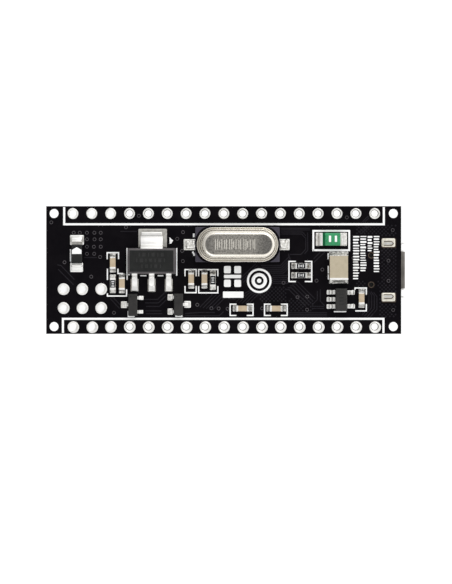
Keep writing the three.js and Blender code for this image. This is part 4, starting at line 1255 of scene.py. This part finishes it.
def make_diode():
    node = "polarity_diode"
    part = Solid(seat(node, QUARTER), CASE)
    top = STAND_OFF + size_mm(node).z
    moulded_case(part.shifted(-0.06, 0), 2.52, 1.44, 0.08, top, 0.1)
    path = gull_path(1.0, 2.26, 0.5, 0.6, 0.16)
    for side, view in part.ends((1, -1)):
        upper = side > 0
        view.strip(path, 1.4, 0.16, material=TIN)
        solder_pad(view, 1.84, 0 if upper else -0.05, 1.3, 1.88 if upper else 1.74, 0.07, SOLDER)
        solder_fillet(view, 2.24, 0.24, 1.4, 0.14, SOLDER)
        if upper:
            # Dull tin facets and band paint the shade on the sloping sides of the solder.
            view.brick(0.34, 1.5, 0.05, 0.62, 1.36, 0, 0.06, 0.03, DULL_TIN)
            for half, run, inner in ((1, 0.66, 0.66), (-1, 0.9, 0.5)):
                facet = [(1.56, 0.9 * half), (1.56, inner * half), (1.56 + run, 0.88 * half)]
                view.slab(facet[::half], 0.04, 0.235, 0.02, DULL_TIN)
        else:
            # Dark spots paint the shadow where the lead bends down.
            for half in SIDES:
                view.slab(tapered(0.2, 0.2, 0.06, 1.66, 0.64 * half, 2), 0.04, 0.215, 0.02, SHADED)
        # A dark line paints the shade across the lead by its bend.
        view.brick(0.06, 1.36, 0.05, 0.63, 1.56 if upper else 1.44, 0, 0.02, 0.01, SHADED)
    arrow = [(0.88, 0.0), (0.5, 0.64), (-0.04, 0.64), (-0.04, -0.64), (0.5, -0.64)]
    part.slab(arrow, top - 0.02, top + 0.012, 0.012, WHITE)
    part.piece("diode_package", "moulded_black", node)


def make_big_regulator():
    node = "regulator_5v_case"
    matrix = seat(node)
    size = size_mm(node)
    bottom = 0.08
    top = bottom + size.z
    case = Solid(matrix, CASE)
    moulded_case(case, size.x, size.y, bottom, top, 0.3, wall=CASE_LIT_WALL)
    for i, x, y in bar_places((3.9, 4.6, 3.2), 0.62, 0.86, 0.78):
        mark(case, tapered(0.16 + 0.26 * (i % 2), 0.5, 0.06, x, y, 2), top)
    case.piece("regulator_5v_moulding", "moulded_black", node)

    thickness = 0.28
    exit_z = 0.88
    tab_toe = 3.4
    for name, cad_name, turn, along in (
        ("tab_metal", "tab", QUARTER, 0.0),
        ("leg_left", "lead_left", -QUARTER, -2.3), ("leg_right", "lead_right", -QUARTER, 2.3),
    ):
        leg = Solid(matrix @ place(along, 0, turn), TIN)
        narrow = leg
        is_tab = cad_name == "tab"
        if is_tab:
            leg.strip(gull_path(1.2, tab_toe, exit_z, 1.29, thickness), 3.0, thickness, 0.05)
            narrow = leg.end(-1)
        narrow.strip(gull_path(1.2, 3.84, exit_z, 1.73, thickness), 0.74, thickness, 0.05)
        solder_pad(narrow, 3.24, 0, 1.76, 1.08, 0.06, DULL_TIN)
        solder_pad(narrow, 3.66, 0, 0.9, 0.98, 0.34, SOLDER)
        if is_tab:
            solder_pad(leg, 3.06, -0.13, 2.56, 3.86, 0.06, DULL_TIN)
            solder_pad(leg, 3.6, 0, 0.72, 2.86, 0.22, SOLDER)
            # A dark brick paints the shade along the tab's toe.
            leg.brick(0.07, 2.8, 0.1, 0.27, tab_toe, 0, 0.02, 0.01, SHADED)
        leg.piece("regulator_5v_" + name, "tinned_metal", "regulator_5v_" + cad_name)


def make_microcontroller():
    node = "microcontroller"
    chip = Solid(seat(node), CASE)
    top = STAND_OFF + size_mm(node).z
    moulded_case(chip, 10.0, 10.0, 0.12, top, 0.14, corner=0.3)
    path = gull_path(4.75, 6.0, 0.56, 0.52, 0.13)
    for side in range(4):
        for along in LEAD_ROW:
            view = chip.shifted(0, 0, side * QUARTER).shifted(0, along)
            view.strip(path, 0.35, 0.13, material=TIN)
            solder_pad(view, 5.85, 0, 1.25, 0.46, 0.05, SOLDER)
            solder_fillet(view, 5.97, 0.22, 0.36, 0.1, SOLDER)
    dish = [(0.62, 0.0), (0.6, 0.006), (0.5, 0.006), (0.46, 0.0)]
    chip.turned([(r, top - 0.002 + z) for r, z in dish], -3.7, 3.7, 36, CASE_MARK, True)
    for _, x, y in bar_places((6.2, 5.0, 5.6, 3.8), 0.75, 1.5, 1.05):
        mark(chip, moved(rounded_rectangle(0.52, 0.62, 0.08, 2), x, y), top)
    chip.piece("flat_pack_44", "moulded_black", node)


# ---- crystal

GROOVE_LEVELS = (6, 10)  # which bands of the can's flange are the bottoms of its two grooves, painted dark as their shade


def can_levels(bottom, top):
    """Inset and height up the can: a flat flange with two fine grooves, then a rounded shoulder."""
    flange = bottom + 0.17
    groove = bottom + 0.13
    levels = [(0.06, bottom), (0.0, bottom + 0.05), (0.0, flange - 0.05), (0.02, flange - 0.015)]
    levels += [(0.05, flange), (0.16, flange), (0.175, groove), (0.245, groove), (0.26, flange)]
    levels += [(0.38, flange + 0.02), (0.395, groove), (0.465, groove), (0.48, flange + 0.02)]
    levels += [(0.55, flange + 0.03), (0.575, flange + 0.08)]
    start, end = 0.6, 1.02
    drops = 9
    heights = [0.0]
    for step in range(drops):
        slope = math.radians(5 + 47 * (step + 0.5) / drops)
        heights.append(heights[-1] + (end - start) / drops * math.tan(slope))
    levels.append((start - 0.015, top - heights[-1] - 0.15))
    for step in range(drops, -1, -1):
        levels.append((end - (end - start) * step / drops, top - heights[step]))
    return levels


def make_crystal():
    matrix = seat("crystal_can")
    flange = size_mm("crystal_can")
    size = size_mm("crystal_insulator")

    def oval(shrink, flat, x=0.0):
        """The can's outline made smaller. Its ends are half circles, but for a short flat."""
        wide = flange.y - shrink
        return tapered(flange.x - shrink, wide, wide / 2 - flat, x, steps=14)

    plate = Solid(matrix, PLATE)
    plate_top = heights("crystal_insulator")[1]
    plate.slab(tapered(size.x, size.y, 0.12, steps=3), 0.25, plate_top, 0.06, smooth=True)
    for sx, sy in CORNERS:
        plate.brick(1.3, 1.3, 0.02, 0.3, sx * (size.x / 2 - 0.75), sy * (size.y / 2 - 0.75), 0.1)
    # A thin black ring round the can paints the shadow in the gap between its flange and the plate.
    limit_x, limit_y = size.x / 2 - 0.03, size.y / 2 - 0.03
    shadow_ring = []
    for x, y in oval(-0.62, 0.04)(0.0):
        shadow_ring.append((min(max(x, -limit_x), limit_x), min(max(y, -limit_y), limit_y)))
    plate.rings([[(x, y, plate_top + z) for x, y in shadow_ring] for z in (-0.03, 0.01)], MASK)
    plate.piece("crystal_plate", "crystal_plate", "crystal_insulator")

    base = Solid(matrix, CAN)
    bottom = heights("crystal_header")[0]
    rim = oval(0.0, 0.04)
    base.stack(rim, [(0.1, bottom), (0.02, bottom + 0.05), (0, bottom + 0.12),
                     (0, bottom + 0.24), (0.05, bottom + 0.3)])
    base.piece("crystal_base", "crystal_nickel", "crystal_header")

    can = Solid(matrix, CAN)
    bottom, top = heights("crystal_can")
    lean = 0.17  # how far the can's top has moved along X from its foot
    rings = []
    for inset, z in can_levels(bottom, top - 0.012):
        shift = lean * (z - bottom) / (top - bottom)
        rings.append([(x + shift, y, z) for x, y in rim(inset)])
    can.rings(rings)
    count = len(rings[0])
    # The groove bottoms are painted dark for the shade in them.
    for level in GROOVE_LEVELS:
        can.materials[level * count:(level + 1) * count] = [SHADED] * count
    can.slab(oval(2.06, 0.03, lean), top - 0.05, top - 0.004, 0.012, CAN_TOP_SHADED)
    x, last_x, tick = -2.95, 2.7, 0.09
    strokes = ((1.42, 0.2), (1.42, 0.14), (0.9, 0.24), (1.42, 0.3), (1.2, 0.14), (1.42, 0.34))
    index = 0
    while x < last_x:
        tall, gap = strokes[index % len(strokes)]
        can.slab(tapered(tick, tall, 0.03, x, 0.0, 2), top - 0.01, top, 0.003, CAN_MARK)
        x += tick + gap
        index += 1
    can.piece("crystal_shell", "crystal_nickel", "crystal_can")

    strip = Solid(matrix, QUARTZ)
    quartz = size_mm("crystal_quartz")
    bottom, top = heights("crystal_quartz")
    strip.brick(quartz.x, quartz.y, bottom, top)
    electrode = tapered(quartz.x * 0.55, quartz.y * 0.7, 0.1)
    strip.slab(electrode, top - 0.004, top + 0.006, 0.003, TIN)
    strip.piece("quartz_strip", "quartz", "crystal_quartz")

    low, high = box_mm("crystal_can")
    middle = (low.x + high.x) / 2
    for side, name, short, lumps in ((1, "right", 0.27, 2), (-1, "left", 0.0, 7)):
        node = "crystal_lead_" + name
        low, high = box_mm(node)
        lead = Solid(matrix, TIN).end(side)
        near, far = sorted((abs(low.x - middle), abs(high.x - middle)))
        near += 0.3
        clip_top = heights(node)[1]
        path = bent_path([(near, clip_top - 0.1), (near, 0.13), (far, 0.13)], 0.25)
        lead.strip(path, 0.7, 0.2, 0.06)
        lead.brick(0.9, 1.2, clip_top - 0.18, clip_top, near + 0.1, 0, 0.08, 0.04)
        solder_pad(lead, far - 0.33 - short / 2, 0, 1.86 - short, 1.5, 0.1, SPECKLED)
        mound = tapered(1.5 - short, 1.2, 0.3, far - 0.45 - short / 2, 0.0, 5)
        height = 0.36
        levels = [(0, 0.06), (0.04, 0.5 * height), (0.14, 0.8 * height), (0.3, height)]
        lead.stack(mound, levels, SPECKLED)
        for _ in range(lumps):
            x = far - 0.45 + solder_dice.uniform(-0.5, 0.5)
            y = solder_dice.uniform(-0.4, 0.4)
            swell = solder_dice.uniform(0.14, 0.24)
            dome = [(1.3, -0.2), (1.0, 0.0), (0.6, 0.07), (0.0, 0.1)]
            lead.turned([(r * swell, height + z) for r, z in dome], x, y, 20, SPECKLED)
        lead.piece("crystal_foot_" + name, "tinned_metal", node)


# ---- USB socket


def socket_ring(x, inset):
    """The shell's section at x: wide at its back, narrow by the board. The inset shrinks it."""
    low, high = box_mm("usb_shell")
    depth = heights("usb_shell")[1]
    wide = min(-low.y, high.y) - 0.1 - inset
    points = [
        (2.75 - 0.4 * inset, inset + 0.02), (wide, 0.97 + 0.4 * inset),
        (wide, depth - inset - 0.3), (wide - 0.3, depth - inset),
    ]
    points += [(-y, z) for y, z in reversed(points)]
    points = [Vector(p) for p in points]
    reach = max(0.28 - inset * 0.5, 0.08)
    ring = []
    for before, corner, after in zip(points[-1:] + points, points, points[1:] + points[:1]):
        ring += [(x, y, z) for y, z in cut_corner(before, corner, after, reach, 3)]
    return ring


def make_usb_shell():
    low, high = box_mm("usb_shell")
    depth = heights("usb_shell")[1]
    rear, front, lip_end = low.x, high.x - 0.45, high.x
    sheet = SOCKET_SHEET
    soft = 0.05
    shell = Solid(LOGIC_FACE, STEEL)
    shell.rings([
        socket_ring(rear, soft), socket_ring(rear + soft, 0.0), socket_ring(rear + 1.85, 0.0),
        socket_ring(front - soft, 0.0), socket_ring(front, soft), socket_ring(front, sheet - soft),
        socket_ring(front - soft, sheet), socket_ring(rear + 1.85, sheet),
        socket_ring(rear + soft, sheet), socket_ring(rear, sheet - soft),
    ], loop=True)
    board_lip = [(front - 0.2, 0.145), (front + 0.12, 0.145), (lip_end + 0.02, 0.1)]
    shell.strip(bent_path(board_lip, 0.25), 5.1, sheet - 0.02, 0.06, 0.97, SHADED_LIP_STEEL)
    back_z = depth - sheet / 2
    back_lip = [(front - 0.2, back_z), (front + 0.2, back_z), (lip_end, back_z)]
    shell.strip(bent_path(back_lip, 0.2), 5.5, sheet - 0.04, 0.06, 0.97)
    for side in SIDES:
        tilt = Matrix.Translation((0, 0, 1.62)) @ Matrix.Rotation(side * QUARTER, 4, "X")
        side_lip = [(front - 0.2, 3.57), (front + 0.1, 3.58), (lip_end, 3.68)]
        wing = shell.view(LOGIC_FACE @ tilt)
        wing.strip(bent_path(side_lip, 0.2), 0.85, sheet - 0.03, 0.06, 0.9)
    deep = -BOARD_THICKNESS
    for side in SIDES:
        shell.brick(1.2, sheet, deep - 0.1, 1.3, TAB_X, side * TAB_Y, 0.1, 0.06)
    for side in SIDES:
        latch = tapered(1.1, 0.8, 0.12, 21.4, side * 1.7, 3)
        shell.slab(latch, depth - 0.02, depth + 0.006, 0.01, SOCKET_PLASTIC)
        tongue = tapered(0.78, 0.46, 0.1, 21.34, side * 1.7, 3)
        shell.slab(tongue, depth - 0.01, depth + 0.02, 0.02, smooth=True)
    seam = stroke([(rear + 0.1, 0.0), (front - 0.3, 0.0)], 0.05)
    shell.slab(seam, depth - 0.01, depth + 0.004, 0.003, SOCKET_PLASTIC)
    for side in SIDES:
        plug = tapered(1.46, 0.76, 0.36, TAB_X, side * TAB_Y, 6)
        shell.stack(plug, [(0.12, deep - 0.02), (0.0, deep + 0.04), (0.0, 0.0), (0.06, 0.1)], FLUXED)
        pad = tapered(1.84, 1.14, 0.2, TAB_X, side * (TAB_Y + 0.09), 5)
        shell.stack(pad, [(0, 0.01), (0.01, 0.035), (0.1, 0.06)], FLUXED)
    shell.piece("usb_can", "socket_steel", "usb_shell")

    seats = Solid(SUPPLY_FACE, BARE)
    for side in SIDES:
        y = side * (TAB_Y + 0.09)
        # The bare laminate halo reaches further to the lower side, where it is also painted shade.
        halo = tapered(2.0, 1.34, 0.22, TAB_X + 0.02, y - 0.03, 5)
        seats.stack(halo, [(0, -0.02), (0.01, 0.008), (0.03, 0.014)])
        pad = tapered(1.84, 1.16, 0.2, TAB_X - 0.02, y + 0.02, 5)
        seats.stack(pad, [(0, 0.0), (0.01, 0.04), (0.08, 0.07), (0.2, 0.085)], FLUXED)
        # A raised line of dark bare laminate paints the shade of the groove round the tab.
        groove = [(-0.62, 0.24), (0.42, 0.24), (0.64, 0.0), (0.42, -0.24), (-0.62, -0.24)]
        seats.slab(stroke(moved(groove, TAB_X, side * TAB_Y), 0.13), 0.06, 0.094, 0.01)
        peg_ring = [(0.43, -0.01), (0.425, 0.01), (0.41, 0.016), (0.33, 0.016), (0.315, 0.01),
                    (0.31, -0.01)]
        seats.turned(peg_ring, PEG_X, side * PEG_Y, 28, loop=True)
    seats.piece("usb_tab_solder", "tinned_metal")


def make_usb_inside():
    low, high = box_mm("usb_insulator")
    plastic = Solid(LOGIC_FACE, SOCKET_PLASTIC)
    block_end = low.x + 1.5
    plastic.rings([socket_ring(x, SOCKET_SHEET + 0.03) for x in (low.x, block_end)], smooth=False)
    plastic.brick(1.4, 5.1, 0.03, 0.5, low.x + 0.78, 0, 0.1)
    tongue_z = heights("usb_contact_3")[1]
    reach = high.x - block_end
    middle = block_end + reach / 2
    plastic.brick(reach + 0.2, 3.7, tongue_z - 0.02, tongue_z + 0.48, middle - 0.1, 0, 0.2, 0.08)
    for i in range(6):
        rib_y = (i - 2.5) * 0.65
        plastic.brick(reach, 0.34, tongue_z - 0.12, tongue_z, middle, rib_y, 0.04, 0.02)
    for side in SIDES:
        plastic.turned([(0.24, -1.0), (0.29, -0.9), (0.29, 0.2)], PEG_X, side * PEG_Y, 24)
    plastic.piece("usb_tongue", "moulded_black", "usb_insulator")

    for number in range(1, 6):
        node = f"usb_contact_{number}"
        low, high = box_mm(node)
        blade = Solid(LOGIC_FACE @ place(0, -(low.y + high.y) / 2), GOLD)
        top = heights(node)[1] - 0.05
        path = [(high.x, top - 0.02), (high.x - 0.3, top), (low.x + 0.6, top), (low.x + 0.5, 0.07),
                (low.x, 0.07)]
        blade.strip(bent_path(path, 0.14), 0.23, 0.1, 0.03)
        solder_pad(blade, low.x + 0.1, 0, 1.1, 0.38, 0.05, SOLDER)
        blade.piece(f"usb_blade_{number}", "gold_contact", node)


# ---- reset switch


def make_switch():
    matrix = seat("reset_switch_base")
    size = size_mm("reset_switch_base")
    base_top = heights("reset_switch_base")[1]
    well_floor = heights("reset_switch_dome")[0] - 0.02
    well_radius, wedges = 1.22, 24
    base = Solid(matrix, SOCKET_PLASTIC)
    base.brick(size.x, size.y, 0.05, well_floor, 0, 0, 0.25, 0.06)
    for step in range(wedges):
        start, end = (2 * math.pi * s / wedges for s in (step, step + 1))
        wedge = []
        for a in (start, end):
            to_x, to_y = (max(abs(part), 1e-6) for part in (math.cos(a), math.sin(a)))
            reach = min(size.x / 2 / to_x, size.y / 2 / to_y)
            wedge.append((reach * math.cos(a), reach * math.sin(a)))
        wedge += [(well_radius * math.cos(a), well_radius * math.sin(a)) for a in (end, start)]
        base.slab(wedge, well_floor - 0.08, base_top, 0.0005)
    for sx, sy in CORNERS:
        x, y = sx * (size.x / 2 - 0.2), sy * (size.y / 2 - 0.2)
        base.brick(0.36, 0.36, well_floor - 0.1, base_top, x, y, 0.14)
    base.piece("switch_housing", "moulded_black", "reset_switch_base")

    size = size_mm("reset_switch_cover")
    top = heights("reset_switch_cover")[1]
    outline = rounded_rectangle(size.x, size.y, 0.3, 5)
    mesh = filled_plate([outline, circle(0.87, 40)], top - 0.13, top, 0.025)
    mesh.transform(matrix)
    mesh.transform(Matrix.Scale(MM, 4))
    finish_piece("switch_cover", mesh, [SPRING], "reset_switch_cover")
    clips = Solid(matrix, SPRING)
    for side in SIDES:
        clips.brick(0.12, 1.5, top - 0.95, top - 0.04, side * (size.x / 2 - 0.08))
        clips.brick(0.2, 0.5, top - 0.95, top - 0.82, side * (size.x / 2 - 0.06))
    for sx, sy in CORNERS:
        rivet = [(0.17, top - 0.01), (0.17, top + 0.03), (0.12, top + 0.07)]
        clips.turned(rivet, sx * 1.55, sy * 1.05, 20)
    clips.piece("switch_clips", "spring_steel")

    flange, tip = heights("reset_switch_plunger")
    skirt = [(0.9, 0.0), (1.04, 0.03), (1.08, 0.1), (1.08, 0.24), (1.02, 0.29), (0.84, 0.31),
             (0.795, 0.36)]
    crown = [(0.79, -0.16), (0.77, -0.08), (0.72, -0.03), (0.62, 0.0), (0.5, -0.005),
             (0.4, -0.03), (0.2, -0.04)]
    profile = [(r, flange + z) for r, z in skirt] + [(r, tip + z) for r, z in crown]
    plunger = Solid(matrix, CREAM)
    plunger.turned(profile, steps=48)
    plunger.piece("button_cap", "button", "reset_switch_plunger", BUTTON_BODY)

    rim_z, rise = heights("reset_switch_dome")[0], size_mm("reset_switch_dome").z
    bands = 8
    shares = [step / bands for step in range(bands + 1)]
    profile = [(1.1 * s, rim_z + (rise - 0.06) * math.cos(s * QUARTER)) for s in shares]
    profile += [(1.14 * s, rim_z + rise * math.cos(s * QUARTER)) for s in reversed(shares)]
    dome = Solid(matrix, SPRING)
    dome.turned(profile, steps=36)
    piece = dome.piece("snap_disc", "spring_steel", "reset_switch_dome")
    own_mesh(piece)

    for number in (1, 2):
        node = f"reset_switch_terminal_{number}"
        low, high = box_mm(node)
        middle, half = (low + high) / 2, (high.y - low.y) / 2
        foot = Solid(LOGIC_FACE @ place(middle.x, -middle.y, QUARTER), TIN)
        foot.strip([(-half, 0.11), (half, 0.11)], 0.6, 0.15, 0.04)
        for side, end in foot.ends((1, -1)):
            solder_pad(end, half + 0.05, 0, 0.9, 0.95, 0.08, SOLDER)
            solder_fillet(end, half - 0.03, 0.36, 0.7, 0.14, SOLDER)
        foot.piece(f"switch_foot_{number}", "tinned_metal", node)


# ---- lights and resistor arrays


def make_lights():
    for node in LIGHTS:
        length, width, height = size_mm(node)
        light = Solid(seat(node), ALUMINA)
        light.brick(length - 0.04, width, 0.03, 0.26, corner=0.04)
        for side, end in light.ends():
            x = side * (length / 2 - 0.13)
            light.brick(0.26, width - 0.02, STAND_OFF, 0.29, x, 0, 0.06, 0.04, GOLD)
            solder_fillet(end, length / 2 - 0.02, 0.34, width, 0.2, SOLDER)
            solder_pad(end, length / 2 + 0.08, 0, 0.6, width * 1.1, 0.04, SOLDER)
        top = STAND_OFF + height
        levels = [(0, 0.25), (0.03, 0.4), (0.06, top - 0.08), (0.09, top - 0.02), (0.15, top)]
        light.stack(rounded_rectangle(1.14, width - 0.04, 0.06, 3), levels, LENS)
        light.piece(node + "_lamp", "light_lens", node)


def make_arrays():
    for node in ("resistor_array_1", "resistor_array_2"):
        array = Solid(seat(node), ALUMINA)
        array.brick(3.16, 1.44, 0.04, 0.44, edge=0.04)
        array.brick(3.0, 0.86, 0.42, 0.49, material=GLAZE)
        for side in SIDES:
            for i in range(4):
                x, y = (i - 1.5) * 0.8, side * 0.62
                array.brick(0.42, 0.42, 0.02, 0.5, x, y, 0.1, 0.06, TIN)
                end = array.shifted(x, y, side * QUARTER)
                solder_fillet(end, 0.19, 0.3, 0.42, 0.26, SOLDER)
                solder_pad(end, 0.24, 0, 0.56, 0.48, 0.04, SOLDER)
        for x in (-0.42, 0.0, 0.42):
            bar = moved(rounded_rectangle(0.2, 0.42, 0.05, 2), x, 0)
            array.slab(bar, 0.485, 0.498, 0.004, WHITE)
        array.piece(node + "_chip", "resistor_black", node)


# ---- stage


def make_stage():
    size = 3.0
    mesh = bpy.data.meshes.new("floor")
    corners = [(-size, -size, 0), (size, -size, 0), (size, size, 0), (-size, size, 0)]
    mesh.from_pydata(corners, [], [(0, 1, 2, 3)])
    floor = put("floor", mesh)
    floor.location.z = cad_low.z - 0.0001
    material = bpy.data.materials.new("floor")
    material.use_nodes = True
    tree = material.node_tree
    look = {"Base Color": (0.2, 0.2, 0.2), "Roughness": 0.9}
    glow = {"Emission Color": (1, 1, 1), "Emission Strength": 0.92}
    for key, value in {**look, **glow}.items():
        feed(tree, tree.nodes["Principled BSDF"].inputs[key], value)
    mesh.materials.append(material)


def make_sky():
    """A studio tent: dark straight above, bright on its slopes, softer near the floor."""
    world = bpy.data.worlds.new("tent")
    bpy.context.scene.world = world
    world.use_nodes = True
    tree = world.node_tree
    where = add_node(tree, "TexCoord", {}).outputs["Generated"]
    parts = add_node(tree, "SeparateXYZ", {0: where}).outputs
    ramp = add_node(tree, "ValToRGB", {"Fac": parts["Z"]})
    stops = ramp.color_ramp.elements
    stops.remove(stops[1])
    for upward, value in ((0.0, 0.84), (0.4, 1.1), (0.84, 1.2), (0.93, 0.5), (1.0, 0.36)):
        stop = stops.new(upward) if upward else stops[0]
        stop.position = upward
        stop.color = (value / 2, value / 2, value / 2, 1)
    ends = {"From Min": -0.9, "From Max": 0.1, "To Min": 0.9, "To Max": 2.1}
    shade = add_node(tree, "MapRange", {"Value": parts["X"], **ends}).outputs["Result"]
    background = tree.nodes["Background"]
    feed(tree, background.inputs["Color"], ramp.outputs["Color"])
    feed(tree, background.inputs["Strength"], shade)
    white = add_node(tree, "Background", {"Color": (1, 1, 1)}).outputs[0]
    seen = add_node(tree, "LightPath", {}).outputs["Is Camera Ray"]
    choose = add_node(tree, "MixShader", {"Fac": seen, 1: background.outputs[0], 2: white})
    feed(tree, tree.nodes["World Output"].inputs["Surface"], choose.outputs[0])


def softbox(name, position, size, power):
    data = bpy.data.lights.new(name, "AREA")
    data.shape = "RECTANGLE"
    data.size, data.size_y = size
    data.energy = power
    lamp = put(name, data)
    lamp.location = position
    lamp.rotation_mode = "QUATERNION"
    lamp.rotation_quaternion = (-Vector(position)).to_track_quat("-Z", "Y")


def make_camera():
    """Looks straight down, from far enough away that the picture has almost no perspective."""
    distance = 0.8
    frame_height = 0.07864  # what the tall side of the picture takes in at the board's upper face
    data = bpy.data.cameras.new("camera")
    data.sensor_width = 36.0
    data.lens = data.sensor_width * distance / frame_height
    data.clip_start, data.clip_end = 0.01, 10.0
    camera = put("camera", data)
    camera.location = (0.00031, -0.00296, SUPPLY_Z * MM + distance)
    bpy.context.scene.camera = camera


# ---- everything

make_laminate()
make_plating()
make_copper()
make_ground_dots()
make_supply_print()
make_logic_print()
make_chips()
make_fuse()
make_small_packages()
make_diode()
make_big_regulator()
make_microcontroller()
make_crystal()
make_usb_shell()
make_usb_inside()
make_switch()
make_lights()
make_arrays()

make_stage()
make_sky()
softbox("key", (0.25, 0.55, 0.6), (0.5, 0.3), 1.5)
softbox("fill", (-0.3, -0.5, 0.55), (0.5, 0.3), 0.6)
bpy.context.scene.view_settings.view_transform = "Standard"
make_camera()
